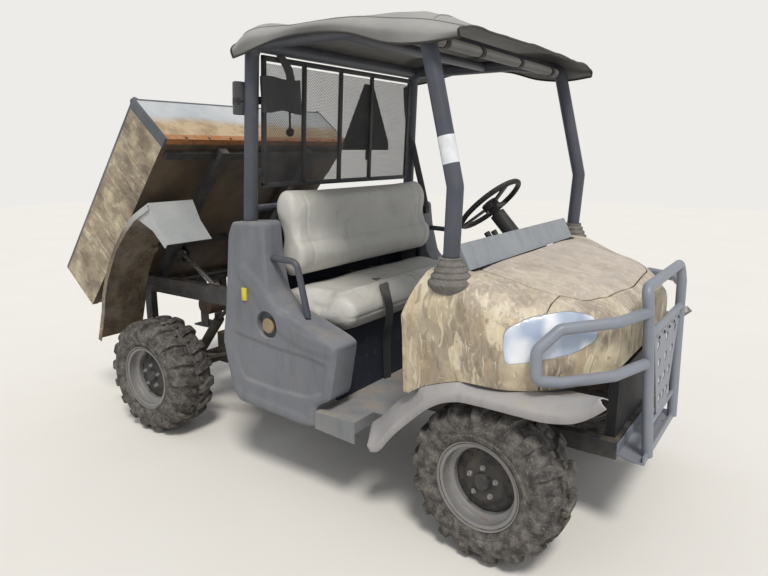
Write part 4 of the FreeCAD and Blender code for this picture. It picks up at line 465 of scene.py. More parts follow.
def clear_cover(name):
    """Hazed cover of a lamp, with the bright and bluish facets of its reflector painted on it as painted
    reflection.
    """
    f = Finish(name)
    facet = f.part(f.cells(15, where=f.stretched((1.0, 1.0, 0.75), (0.2, 0.3, 0.1)), output="Color",
                           feature="SMOOTH_F1"), "Y")
    haze = f.noise(7, 3, 0.5)
    # painted reflection: facets ramp from bluish grey to white
    colour = f.ramp(facet * 0.7 + haze * 0.3, [(0.3, tone(176, 190, 212)), (0.45, tone(212, 220, 234)),
                                               (0.56, tone(236, 240, 247)), (0.68, tone(252, 253, 255))])
    colour = f.mix(f.edges(0.006) * 0.7, colour, tone(196, 202, 212))
    return f.shade(colour, 0.14 + haze * 0.2, None, Transmission_Weight=0.12, Coat_Weight=0.6,
                   Specular_IOR_Level=0.6)


def reflector(name):
    """Pressed reflector behind a lamp's cover, with painted reflection: near white, its facets brighter and
    dimmer.
    """
    f = Finish(name)
    facet = f.part(f.cells(13, where=f.stretched((1, 1, 0.5)), output="Color"), "Y")
    # painted reflection: facet colour between two near whites
    return f.shade(f.mix(facet, tone(214, 221, 232), tone(244, 246, 250)), 0.25 + facet * 0.15, None, 0.2)


def plain(name, base, gloss, grain=0.0002):
    """Plain paint or plastic with a little dust."""
    f = Finish(name)
    cloud = f.noise(25, 4, 0.6)
    colour = f.mix(cloud.over(0.3, 0.7) * 0.5, base, shaded(base, 0.8))
    colour = f.mix(f.noise(14, 5, 0.65).over(0.5, 0.75) * 0.3, colour, DUST)
    normal = f.bump(f.noise(600, 2), grain, 0.5)
    return f.shade(colour, gloss + cloud * 0.15, normal)


MOULDED = moulded("moulded_grey", tone(106, 109, 115), 0.45, 0.35)
# painted light: a lighter copy of the moulded grey for the sunlit dash
DASH_GREY = moulded("sunlit_dash", tone(142, 147, 153), 0.5, 0.25)
FLOOR_GREY = moulded("trodden_floor", tone(116, 118, 121), 0.5, 0.6)
# the flare's copy has the strongest bleaching and painted light on top
FLARE_GREY = moulded("bleached_flare", tone(150, 147, 147), 0.7, 0.3)
# dark plastic, made darker still with painted shade
SEAT_BOX = moulded("dark_seat_box", tone(32, 37, 48), 0.1, 0.06)
FENDER_GREY = mudguard("bed_mudguard")
CONTROL_BLACK = moulded("control_black", tone(34, 35, 38), 0.16, 0.25, gloss=0.5)
FRAME_DARK = painted("chassis_paint", tone(50, 50, 52), 0.5, 0.5, 0.55, 0.5)
TUBE_GREY = painted("tube_grey", tone(64, 68, 78), 0.22, 0.35, 0.4)
GUARD_GREY = painted("guard_grey", tone(124, 129, 139), 0.2, 0.35, 0.34)
SCREEN_BLACK = painted("screen_black", tone(44, 45, 48), 0.3, 0.4, 0.5)
CAMO_PANEL = camouflage("camouflage_panel", 0.35)
# the hood's copy carries more painted light on top than the panels' copy
CAMO_HOOD = camouflage("camouflage_hood", 0.62)
CAMO_BED = bed_steel("bed_steel")
CANOPY_CLOTH = cloth("canopy_cloth", tone(158, 157, 154))
BINDING = cloth("binding_cloth", tone(44, 42, 40), dust=0.2)
CURTAIN_CLOTH = cloth("curtain_cloth", tone(74, 74, 76), dust=0.25)
SEAT_VINYL = vinyl("seat_vinyl", tone(203, 201, 194))
TYRE_RUBBER = rubber("tyre_rubber", tone(66, 64, 63), 0.5, tone(150, 146, 140))
BOOT_RUBBER = rubber("boot_rubber", tone(106, 103, 100), 0.45, tone(178, 172, 162))
DARK_RUBBER = rubber("dark_rubber", tone(48, 48, 49), 0.25)
IRON = rough_iron("axle_iron", tone(70, 66, 62))
SPRING_STEEL = rough_iron("spring_steel", tone(62, 60, 60), 0.25, 0.5)
ENGINE_IRON = rough_iron("engine_iron", tone(96, 96, 96), 0.2, 0.5)
EXHAUST = rough_iron("exhaust_steel", tone(120, 104, 90), 0.6, 0.4, 0.3)
CHROME = chrome("rod_chrome")
RIM_SILVER = silver_rim("rim_silver")
HUB_BLACK = painted("hub_black", tone(46, 46, 47), 0.6, 0.3, 0.6)
COVER = clear_cover("lamp_cover")
REFLECTOR = reflector("lamp_reflector")
STRAP = cloth("strap_web", tone(44, 44, 47), 2400.0, 0.35)
SIGN_BACK = painted("sign_back", tone(52, 53, 56), 0.3, 0.3, 0.5)
SIGN_ORANGE = plain("sign_orange", tone(226, 92, 38), 0.5)
SIGN_RED = plain("sign_red", tone(168, 34, 30), 0.35)
LABEL_WHITE = plain("label_white", tone(232, 234, 238), 0.5, grain=0.0)
LABEL_YELLOW = plain("label_yellow", tone(214, 200, 60), 0.5, grain=0.0)
CAP_TAN = plain("filler_cap", tone(150, 130, 104), 0.75)

# Geometry Nodes


def tree_with(name, *sizes):
    """A Geometry Nodes tree with named inputs."""
    tree = bpy.data.node_groups.new(name, "GeometryNodeTree")
    tree.interface.new_socket("Geometry", in_out="INPUT", socket_type="NodeSocketGeometry")
    for label, kind in sizes:
        tree.interface.new_socket(label, in_out="INPUT", socket_type="NodeSocket" + kind)
    tree.interface.new_socket("Geometry", in_out="OUTPUT", socket_type="NodeSocketGeometry")
    start = tree.nodes.new("NodeGroupInput")
    end = tree.nodes.new("NodeGroupOutput")
    return tree, start, end


def add_node(tree, kind, links, **settings):
    node = tree.nodes.new(kind)
    for key, value in settings.items():
        setattr(node, key, value)
    for key, value in links.items():
        if isinstance(value, bpy.types.NodeSocket):
            tree.links.new(value, node.inputs[key])
        else:
            node.inputs[key].default_value = value
    return node


def make_row_tree():
    """Copies of the incoming mesh in a row, each one moved and turned on from the last."""
    tree, start, end = tree_with("row_of_copies", ("Count", "Int"), ("Step", "Vector"),
                                 ("Turn", "Vector"), ("Finish", "Material"))
    line = add_node(tree, "GeometryNodeMeshLine", {"Count": start.outputs["Count"],
                    "Offset": start.outputs["Step"]}, mode="OFFSET")
    index = add_node(tree, "GeometryNodeInputIndex", {})
    turn = add_node(tree, "ShaderNodeVectorMath", {0: start.outputs["Turn"]}, operation="SCALE")
    tree.links.new(index.outputs[0], turn.inputs["Scale"])
    spread = add_node(tree, "GeometryNodeInstanceOnPoints", {"Points": line.outputs[0],
                      "Instance": start.outputs["Geometry"]})
    tree.links.new(turn.outputs[0], spread.inputs["Rotation"])
    real = add_node(tree, "GeometryNodeRealizeInstances", {0: spread.outputs[0]})
    dressed = add_node(tree, "GeometryNodeSetMaterial", {"Geometry": real.outputs[0],
                       "Material": start.outputs["Finish"]})
    tree.links.new(dressed.outputs[0], end.inputs[0])
    return tree


def make_clean_tree():
    """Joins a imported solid's loose triangles, and smooths all but its sharp edges."""
    tree, start, end = tree_with("joined_and_smooth", ("Angle", "Float"))
    merged = add_node(tree, "GeometryNodeMergeByDistance", {0: start.outputs[0], "Distance": 0.00002})
    plain_normals = add_node(tree, "GeometryNodeRemoveAttribute", {0: merged.outputs[0],
                             "Name": "custom_normal"})
    faces = add_node(tree, "GeometryNodeSetShadeSmooth", {0: plain_normals.outputs[0]}, domain="FACE")
    angle = add_node(tree, "GeometryNodeInputMeshEdgeAngle", {})
    sharp = add_node(tree, "FunctionNodeCompare", {0: angle.outputs[0], 1: start.outputs["Angle"]},
                     data_type="FLOAT", operation="LESS_THAN")
    edges = add_node(tree, "GeometryNodeSetShadeSmooth", {0: faces.outputs[0],
                     "Shade Smooth": sharp.outputs[0]}, domain="EDGE")
    tree.links.new(edges.outputs[0], end.inputs[0])
    return tree


ROW = make_row_tree()
CLEAN = make_clean_tree()


def set_input(modifier, label, value):
    for item in modifier.node_group.interface.items_tree:
        if item.item_type == "SOCKET" and item.in_out == "INPUT" and item.name == label:
            modifier[item.identifier] = value


def grown_by(obj, tree, **inputs):
    modifier = obj.modifiers.new(tree.name, "NODES")
    modifier.node_group = tree
    for label, value in inputs.items():
        set_input(modifier, label, value)


def settled(obj):
    """The object with its modifiers turned into its own mesh."""
    bpy.context.view_layer.update()
    graph = bpy.context.evaluated_depsgraph_get()
    mesh = bpy.data.meshes.new_from_object(obj.evaluated_get(graph), preserve_all_data_layers=True,
                                           depsgraph=graph)
    obj.modifiers.clear()
    old = obj.data
    obj.data = mesh
    bpy.data.meshes.remove(old)
    return obj


def in_a_row(obj, count, finish, step=(0.0, 0.0, 0.0), turn=0.0):
    """Copies of a piece, each one moved on by a step and turned on about the y axis."""
    grown_by(obj, ROW, Count=count, Step=step, Turn=(0.0, turn, 0.0), Finish=finish)
    return settled(obj)


# Making meshes


def in_scene(name, data):
    obj = bpy.data.objects.new(name, data)
    bpy.context.scene.collection.objects.link(obj)
    return obj


def new_piece(name, points, faces, finish, smooth=35.0):
    mesh = bpy.data.meshes.new(name)
    mesh.from_pydata([tuple(p) for p in points], [], faces)
    mesh.validate()
    if finish is not None:
        mesh.materials.append(finish)
    soften(mesh, smooth)
    return in_scene(name, mesh)


def soften(mesh, angle=35.0):
    mesh.polygons.foreach_set("use_smooth", [True] * len(mesh.polygons))
    mesh.set_sharp_from_angle(angle=math.radians(angle))
    mesh.update()


def facing_out(obj):
    """Doubles merged and normals pointing outwards."""
    edit = bmesh.new()
    edit.from_mesh(obj.data)
    bmesh.ops.remove_doubles(edit, verts=edit.verts, dist=0.00001)
    bmesh.ops.recalc_face_normals(edit, faces=edit.faces)
    edit.to_mesh(obj.data)
    edit.free()
    return obj


def rounded(obj, width, angle=35.0, harden=True):
    """Adds a bevel along the edges that are sharper than an angle."""
    bevel = obj.modifiers.new("edge", "BEVEL")
    bevel.width = width
    bevel.segments = 2
    bevel.limit_method = "ANGLE"
    bevel.angle_limit = math.radians(angle)
    bevel.harden_normals = harden


def finished(obj, width, angle, smooth):
    """The object with its sharp edges rounded and the rest shaded smooth."""
    rounded(obj, width, angle)
    settled(obj)
    soften(obj.data, smooth)


def thickened(obj, thickness, offset):
    solid = obj.modifiers.new("thickness", "SOLIDIFY")
    solid.thickness = thickness
    solid.offset = offset
    return obj


def repainted(obj, finish):
    obj.data.materials.clear()
    obj.data.materials.append(finish)


def joined_pieces(name, parts):
    """Several made pieces as one."""
    points, faces, slots, finishes = [], [], [], []
    for obj in parts:
        base = len(points)
        mesh = obj.data
        local = {}
        for i, material in enumerate(mesh.materials):
            if material not in finishes:
                finishes.append(material)
            local[i] = finishes.index(material)
        points += [obj.matrix_world @ v.co for v in mesh.vertices]
        for face in mesh.polygons:
            faces.append([base + i for i in face.vertices])
            slots.append(local.get(face.material_index, 0))
    made = new_piece(name, points, faces, None)
    for material in finishes:
        made.data.materials.append(material)
    made.data.polygons.foreach_set("material_index", slots)
    for obj in parts:
        bpy.data.objects.remove(obj)
    soften(made.data)
    return made


def grid_faces(rows, columns, close_rows=False, close_columns=False, flip=False):
    faces = []
    for i in range(rows if close_rows else rows - 1):
        for j in range(columns if close_columns else columns - 1):
            a, b = i * columns + j, i * columns + (j + 1) % columns
            c, d = (i + 1) % rows * columns + (j + 1) % columns, (i + 1) % rows * columns + j
            faces.append([d, c, b, a] if flip else [a, b, c, d])
    return faces


def sweep(name, rings, finish, smooth=35.0):
    """Rings of as many points each, skinned, with its two ends closed."""
    rows, columns = len(rings), len(rings[0])
    points = [p for ring in rings for p in ring]
    faces = grid_faces(rows, columns, close_columns=True)
    faces.append(list(range(columns))[::-1])
    faces.append([(rows - 1) * columns + j for j in range(columns)])
    return facing_out(new_piece(name, points, faces, finish, smooth))


def through(points, params, wanted):
    """Points on a smooth curve through the given ones, at the wanted parameters."""
    p = np.array(points, float)
    t = np.array(params, float)
    step = np.diff(t)
    shape = (-1,) + (1,) * (p.ndim - 1)
    slope = np.diff(p, axis=0) / step.reshape(shape)
    tangent = np.empty_like(p)
    tangent[0], tangent[-1] = slope[0], slope[-1]
    if len(p) > 2:
        a, b = step[:-1].reshape(shape), step[1:].reshape(shape)
        tangent[1:-1] = (slope[1:] * a + slope[:-1] * b) / (a + b)
    made = []
    for w in wanted:
        i = min(max(int(np.searchsorted(t, w, side="right")) - 1, 0), len(t) - 2)
        h = step[i]
        u = (w - t[i]) / h
        made.append((2 * u ** 3 - 3 * u ** 2 + 1) * p[i] + (u ** 3 - 2 * u ** 2 + u) * h * tangent[i]
                    + (3 * u ** 2 - 2 * u ** 3) * p[i + 1] + (u ** 3 - u ** 2) * h * tangent[i + 1])
    return np.array(made)


def chord(points):
    """Lengths along a line of points, from 0."""
    p = np.array(points, float)
    return np.concatenate([[0], np.cumsum(np.linalg.norm(np.diff(p, axis=0), axis=1))])


def prism(name, outline, low, high, across="y", finish=None):
    """A closed outline pushed through along an axis, outline and heights in millimetres."""
    def place(a, b, c):
        return at(*{"x": (c, a, b), "y": (a, c, b), "z": (a, b, c)}[across])
    count = len(outline)
    points = [place(a, b, low) for a, b in outline] + [place(a, b, high) for a, b in outline]
    faces = [list(range(count)), [count + i for i in range(count)][::-1]]
    faces += [[i, (i + 1) % count, count + (i + 1) % count, count + i] for i in range(count)]
    return facing_out(new_piece(name, points, faces, finish))


def offset_outline(points, gap):
    """A closed outline moved outwards by a gap."""
    count = len(points)
    area = sum(a[0] * b[1] - a[1] * b[0] for a, b in zip(points, points[1:] + points[:1]))
    turn = -1 if area > 0 else 1
    moved = []
    for i, here in enumerate(points):
        before, after = points[i - 1], points[(i + 1) % count]
        normals = []
        for a, b in ((before, here), (here, after)):
            run = (b[0] - a[0], b[1] - a[1])
            length = math.hypot(*run)
            normals.append((-run[1] / length * turn, run[0] / length * turn))
        nx = (normals[0][0] + normals[1][0]) / 2
        nz = (normals[0][1] + normals[1][1]) / 2
        size = max(nx * nx + nz * nz, 0.3)
        moved.append((here[0] + nx / size * gap, here[1] + nz / size * gap))
    return moved


def circle(centre, side, up, radius, count):
    turns = [2 * math.pi * k / count for k in range(count)]
    return [centre + side * (radius * math.cos(a)) + up * (radius * math.sin(a)) for a in turns]


def axes_of(start, end):
    """The direction between two points, and two directions square to it."""
    run = (end - start).normalized()
    side = run.orthogonal().normalized()
    return run, side, run.cross(side)


def rod(name, start, end, radius, finish=None, sides=24, bevel=0.0):
    """A straight round bar between two points, its ends chamfered."""
    start, end = Vector(start), Vector(end)
    run, side, up = axes_of(start, end)
    steps = [(0, radius - bevel), (bevel, radius)] if bevel else [(0, radius)]
    marks = [(start + run * d, r) for d, r in steps] + [(end - run * d, r) for d, r in reversed(steps)]
    return sweep(name, [circle(centre, side, up, r, sides) for centre, r in marks], finish)


def block(name, low, high, finish=None, place=at, bevel=0.0):
    """A box between two corners in millimetres, its edges rounded."""
    corners = [(x, y, z) for x in (low[0], high[0]) for y in (low[1], high[1]) for z in (low[2], high[2])]
    faces = [[0, 1, 3, 2], [4, 6, 7, 5], [0, 4, 5, 1], [2, 3, 7, 6], [0, 2, 6, 4], [1, 5, 7, 3]]
    obj = facing_out(new_piece(name, [place(*c) for c in corners], faces, finish))
    if bevel:
        rounded(obj, bevel)
        settled(obj)
    return obj


def carved(obj, operation, *tools):
    """The object after a boolean with each tool. The tools are used up."""
    for tool in tools:
        modifier = obj.modifiers.new("carve", "BOOLEAN")
        modifier.operation = operation
        modifier.solver = "EXACT"
        modifier.object = tool
    settled(obj)
    for tool in tools:
        bpy.data.objects.remove(tool)
    return obj


def copied(obj, name):
    return in_scene(name, obj.data.copy())


def tube_along(name, path, radius, finish, sides=12):
    """A round tube along a smooth line."""
    rings = []
    side = None
    for i, p in enumerate(path):
        run = (path[min(i + 1, len(path) - 1)] - path[max(i - 1, 0)]).normalized()
        side = run.orthogonal() if side is None else side - run * side.dot(run)
        side.normalize()
        up = run.cross(side)
        rings.append(circle(p, side, up, radius, sides))
    return sweep(name, rings, finish, 50)


def spun(name, profile, finish, steps=72, around=Vector((0, 0, 0)), smooth=30.0):
    """A closed section of y and radius in millimetres, turned about the y axis through a point."""
    profile = [(y / 1000, r / 1000) for y, r in profile]
    points = []
    for k in range(steps):
        a = 2 * math.pi * k / steps
        points += [around + Vector((r * math.sin(a), y, r * math.cos(a))) for y, r in profile]
    faces = grid_faces(steps, len(profile), close_rows=True, close_columns=True)
    return facing_out(new_piece(name, points, faces, finish, smooth))


def dress(node, finish):
    """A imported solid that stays, with its finish, smooth where it is round and softened at its edges."""
    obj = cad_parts[node]
    repainted(obj, finish)
    grown_by(obj, CLEAN, Angle=math.radians(32))
    rounded(obj, 0.0012, 38, harden=False)


def placed(obj, body, slot, *nodes):
    """Puts a finished piece on its body and hides the nodes it stands for. Its slot is not used."""
    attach(obj, body)
    if nodes:
        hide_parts(*nodes)


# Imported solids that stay

for node, finish in (
        ("main_frame", FRAME_DARK), ("deck_frame", FRAME_DARK), ("deck_crosses", FRAME_DARK),
        ("frame_brackets", FRAME_DARK), ("engine_block", ENGINE_IRON), ("driveline", IRON),
        ("rear_suspension", SPRING_STEEL), ("front_suspension", FRAME_DARK), ("muffler", EXHAUST),
        ("floor_pan", FLOOR_GREY), ("seat_base", SEAT_BOX), ("grab_rails", TUBE_GREY),
        ("rops_frame", TUBE_GREY), ("dash_panel", DASH_GREY),
        ("driver_controls", CONTROL_BLACK), ("radiator", CONTROL_BLACK), ("front_guard", GUARD_GREY),
        ("bed_tub", CAMO_BED), ("bed_frame", FRAME_DARK), ("bed_fenders", FENDER_GREY),
        ("tailgate", CAMO_BED), ("lift_cylinder", FRAME_DARK), ("lift_rod", CHROME),
        ("knuckle_right", IRON), ("knuckle_left", IRON), ("steering_wheel", CONTROL_BLACK),
        ("steering_rack", CHROME), ("warning_triangle", SIGN_BACK)):
    dress(node, finish)

# Camera, floor and light

EYE = Vector((1.988, -2.587, 1.492))
YAW, PITCH, LENS = math.radians(124.8), math.radians(12.33), 29.53


def aim(obj, look):
    obj.rotation_mode = "QUATERNION"
    obj.rotation_quaternion = look.to_track_quat("-Z", "Y")


def make_camera():
    """The photograph's camera, as it was fitted."""
    data = bpy.data.cameras.new("camera")
    data.lens = LENS
    data.sensor_width = 36
    camera = in_scene("camera", data)
    camera.location = EYE
    aim(camera, Vector((math.cos(YAW) * math.cos(PITCH), math.sin(YAW) * math.cos(PITCH), -math.sin(PITCH))))
    bpy.context.scene.camera = camera


def make_stage():
    """Plain floor, soft sun, and a sky that lights less than it shows."""
    f = Finish("studio_floor")
    cloud = f.noise(1.3, 4, 0.5)
    colour = f.mix(cloud, tone(226, 222, 215), tone(232, 229, 223))
    material = f.shade(colour, 0.9)
    half = 16
    floor = new_piece("studio_floor", [(-half, -half, 0), (half, -half, 0), (half, half, 0),
                                       (-half, half, 0)], [[0, 1, 2, 3]], material)
    world = bpy.data.worlds.new("studio")
    bpy.context.scene.world = world
    world.use_nodes = True
    tree = world.node_tree
    tree.nodes.clear()
    rays = add_node(tree, "ShaderNodeLightPath", {})
    lit = add_node(tree, "ShaderNodeBackground", {"Color": (0.93, 0.96, 1.0, 1), "Strength": 0.62})
    shown = add_node(tree, "ShaderNodeBackground", {"Color": tone(238, 236, 232), "Strength": 1.0})
    mixer = add_node(tree, "ShaderNodeMixShader", {0: rays.outputs["Is Camera Ray"], 1: lit.outputs[0],
                     2: shown.outputs[0]})
    add_node(tree, "ShaderNodeOutputWorld", {0: mixer.outputs[0]})
    key = bpy.data.lights.new("soft_sun", "SUN")
    key.energy = 2.1
    key.angle = math.radians(14)
    key.color = (1.0, 0.97, 0.92)
    aim(in_scene("soft_sun", key), Vector((-0.5, 0.55, -1.15)))


make_camera()
make_stage()

# Wheels

TYRE_HALF, TYRE_RADIUS, LUG_HEIGHT, LUGS = 125, 306, 17, 17
LUG_STEP = 2 * math.pi / LUGS


def make_casing():
    """The tyre's casing with its bead, guard rib and shoulders, about the origin."""
    top = TYRE_RADIUS - LUG_HEIGHT
    side = [(102.5, 152.4), (104, 158), (106.6, 170.6), (112, 178), (117, 184), (119, 190), (121, 195),
            (118, 200), (120, 206), (123.5, 216), (125, 226), (124, 240), (119, 252), (110, 264),
            (99, 273), (82, 280), (62, 285), (36, 288), (0, top)]
    outer = side + [(-y, r) for y, r in reversed(side[:-1])]
    inner = [(-99, 156), (-103, 200), (-98, 236), (-70, 270), (0, 278), (70, 270), (98, 236), (103, 200),
             (99, 156)]
    return spun("casing", outer + inner, TYRE_RUBBER, 96, smooth=50)


def make_lug(row):
    """One tread lug with its shoulder block, rounded at its top, about the origin."""
    edge = TYRE_HALF / 1000
    low = (TYRE_RADIUS - LUG_HEIGHT - 7) / 1000
    top = TYRE_RADIUS / 1000
    # share of the half width, both sides of the lug in pitches, and drop below the crown
    marks = [(0.05, -0.34, -0.05, 0.0), (0.2, -0.29, 0.03, 0.5), (0.36, -0.25, 0.13, 1.6),
             (0.5, -0.2, 0.22, 2.8), (0.62, -0.17, 0.3, 4.4), (0.76, -0.17, 0.31, 9.0),
             (0.88, -0.16, 0.3, 17.0), (0.96, -0.14, 0.28, 30.0), (1.0, -0.12, 0.25, 48.0)]
    across = [(0.0, 0.0), (0.04, 0.75), (0.1, 1.0), (0.5, 1.0), (0.9, 1.0), (0.96, 0.75), (1.0, 0.0)]
    rings = []
    last = len(marks) - 1
    for i, (share, left, right, drop) in enumerate([marks[0]] + marks + [marks[last]]):
        lift_limit = 0.0 if i in (0, last + 2) else (0.86 if i in (1, last + 1) else 1.0)
        ring = []
        for s, lift in across:
            lift = min(lift, lift_limit)
            turn = (left + (right - left) * s) * LUG_STEP
            deep = low - 0.006 - drop / 1000 * (0.9 if share > 0.9 else 1.0)
            radius = deep + (top - drop / 1000 - deep) * lift
            ring.append(Vector((radius * math.sin(turn), row * share * edge, radius * math.cos(turn))))
        rings.append(ring)
    return sweep("lug", rings, TYRE_RUBBER, 48)


def make_tyre_mesh():
    """Casing and both rows of lugs, the rows patterned round the axle."""
    parts = [make_casing()]
    for row in (1, -1):
        lug = make_lug(row)
        if row < 0:
            lug.data.transform(Matrix.Rotation(LUG_STEP / 2, 4, "Y"))
        knob = block("knob", (-13, row * 4 - 9, 285), (13, row * 4 + 9, 303), TYRE_RUBBER,
                     lambda x, y, z: Vector((x, y, z)) / 1000, 0.003)
        knob.data.transform(Matrix.Rotation(LUG_STEP * (0.42 if row > 0 else 0.92), 4, "Y"))
        knob.data.transform(Matrix.Translation((0, row * 0.018, 0)))
        parts += [in_a_row(obj, LUGS, TYRE_RUBBER, turn=LUG_STEP) for obj in (lug, knob)]
    return joined_pieces("tyre_pattern", parts)


def make_rim_mesh():
    """Rolled rim, deep disc with its vent holes as black discs of painted shade, hub cap and wheel nuts,
    outer face towards +Y.
    """
    outer = [(112, 170), (111, 166.5), (107.5, 168), (105, 164), (103, 149), (96, 149.5), (72, 149),
             (66, 146), (60, 132), (56, 128), (40, 127), (-50, 127), (-58, 130), (-66, 146), (-72, 149),
             (-96, 149.5), (-103, 149), (-105, 164), (-107.5, 168), (-111, 166.5), (-112, 170), (-106, 171),
             (-101.5, 151), (-70, 150), (-54, 131), (54, 131), (70, 150), (101.5, 151), (106, 171)]
    barrel = spun("barrel", outer, RIM_SILVER, 96)
    disc_line = [(60, 31), (60, 74), (57, 82), (48, 92), (46, 100), (45, 112), (38, 122), (36, 126.5)]
    profile = disc_line + [(y - 8, r) for y, r in reversed(disc_line)]
    disc = spun("disc", profile, HUB_BLACK, 72)
    cap = spun("cap", [(50, 0.2), (50, 31), (58, 33), (74, 31), (80, 26), (82, 0.2)], HUB_BLACK, 36)
    nut = rod("nut", (0, 0.058, 0.057), (0, 0.072, 0.057), 0.0115, RIM_SILVER, 6, 0.002)
    stud = rod("stud", (0, 0.07, 0.057), (0, 0.079, 0.057), 0.006, RIM_SILVER, 12, 0.0015)
    # painted shade: black discs stand in for the open vent holes
    vent_shade_disc = rod("vent", (0, 0.04, 0.104), (0, 0.0475, 0.104), 0.0095, CONTROL_BLACK, 16, 0.001)
    parts = [barrel, disc, cap]
    for obj, count, finish in ((nut, 5, RIM_SILVER), (stud, 5, RIM_SILVER), (vent_shade_disc, 10, CONTROL_BLACK)):
        parts.append(in_a_row(obj, count, finish, turn=2 * math.pi / count))
    valve = rod("valve", (0.012, 0.06, 0.129), (0.012, 0.092, 0.138), 0.0045, DARK_RUBBER, 12, 0.001)
    return joined_pieces("rim_pattern", parts + [valve])


WHEEL_SIDE, KINGPIN_SIDE = 593, 425
FRONT_TURN = math.radians(-4.3)  # how far the front wheels are steered in the photograph


def make_wheels():
    tyre, rim = make_tyre_mesh(), make_rim_mesh()
    for axle, x in (("rear", 0), ("front", WHEELBASE)):
        for name, side in SIDES:
            outward = Matrix.Rotation(math.pi if side < 0 else 0, 4, "Z")
            place = Matrix.Translation(at(x, side * WHEEL_SIDE, TYRE_RADIUS)) @ outward
            if axle == "front":
                pivot = Matrix.Translation(at(x, side * KINGPIN_SIDE, 0))
                place = pivot @ Matrix.Rotation(FRONT_TURN, 4, "Z") @ pivot.inverted() @ place
            for pattern, slot in ((tyre, "tyre"), (rim, "rim_steel")):
                kind = pattern.name.split("_")[0]
                obj = copied(pattern, "%s_%s_%s_detailed" % (kind, axle, name))
                obj.data.transform(place)
                placed(obj, "wheel_%s_%s" % (axle, name), slot, "%s_%s_%s" % (kind, axle, name))
    for pattern in (tyre, rim):
        bpy.data.objects.remove(pattern)


make_wheels()

# Seat

SEAT_HALF = 556
VOXEL = 0.006
CUSHION = [(870, 712), (1190, 728), (1232, 742), (1276, 766), (1294, 806), (1284, 846), (1240, 876),
           (1120, 874), (902, 866), (866, 846), (856, 790)]
BACKREST = [(914, 934), (973, 949), (1007, 1000), (1004, 1060), (975, 1100), (950, 1296), (932, 1316),
            (884, 1316), (868, 1298), (878, 1100), (884, 960)]


def puffed(name, outline, inset, cap):
    """A side outline as a cushion: its ends pulled in, then swollen as cloth by pressure."""
    pts = np.array(outline, float)
    closed = np.vstack([pts, pts[:1]])
    ts = chord(closed)
    middle = pts.mean(0)
    ring = through(closed, ts, np.linspace(0, ts[-1], 49)[:-1])
    rings = []
    ends = ((SEAT_HALF, inset * 1.3), (SEAT_HALF - inset * 0.4, inset * 0.4), (SEAT_HALF - inset, 0))
    for y, inward in [(-y, inward) for y, inward in ends] + [(0, 0)] + list(reversed(ends)):
        away = middle - ring
        length = np.linalg.norm(away, axis=1)[:, None]
        moved = ring + away / length * np.minimum(inward, length * 0.4)
        rings.append([at(x, y, z) for x, z in moved])
    obj = sweep(name, rings, SEAT_VINYL)
    remesh = obj.modifiers.new("voxels", "REMESH")
    remesh.mode = "VOXEL"
    remesh.voxel_size = VOXEL
    obj = settled(obj)
    repainted(obj, SEAT_VINYL)
    rest = np.array([v.co for v in obj.data.vertices])
    swell(obj)
    now = np.array([v.co for v in obj.data.vertices])
    move = now - rest
    size = np.linalg.norm(move, axis=1)[:, None]
    now = rest + move * np.minimum(1, cap / np.maximum(size, 1e-9))
    obj.data.vertices.foreach_set("co", now.astype(np.float32).ravel())
    smooth = obj.modifiers.new("ease", "SMOOTH")
    smooth.factor = 0.5
    smooth.iterations = 6
    obj = settled(obj)
    soften(obj.data, 70)
    return obj


def swell(obj):
    """Cloth with pressure inside, over a few frames, kept as the mesh's shape."""
    cloth_mod = obj.modifiers.new("swell", "CLOTH")
    s = cloth_mod.settings
    s.use_pressure = True
    s.uniform_pressure_force = 4.0
    s.effector_weights.gravity = 0
    s.quality = 4
    s.tension_stiffness = s.compression_stiffness = 12
    s.bending_stiffness = 2
    cloth_mod.collision_settings.use_collision = False
    scene = bpy.context.scene
    for step in range(1, 17):
        scene.frame_set(step)
    graph = bpy.context.evaluated_depsgraph_get()
    mesh = bpy.data.meshes.new_from_object(obj.evaluated_get(graph), depsgraph=graph)
    co = np.empty(len(mesh.vertices) * 3, np.float32)
    mesh.vertices.foreach_get("co", co)
    obj.modifiers.clear()
    obj.data.vertices.foreach_set("co", co)
    obj.data.update()
    bpy.data.meshes.remove(mesh)
    scene.frame_set(1)


def shape_by(obj, move):
    """Moves each point by what move says for its place in millimetres."""
    for v in obj.data.vertices:
        x, y, z = in_mm(v.co)
        dx, dy, dz = move(x, y, z)
        v.co = at(x + dx, y + dy, z + dz)
    obj.data.update()


def seam_dip(distance, width):
    return math.exp(-(distance / width) ** 2)


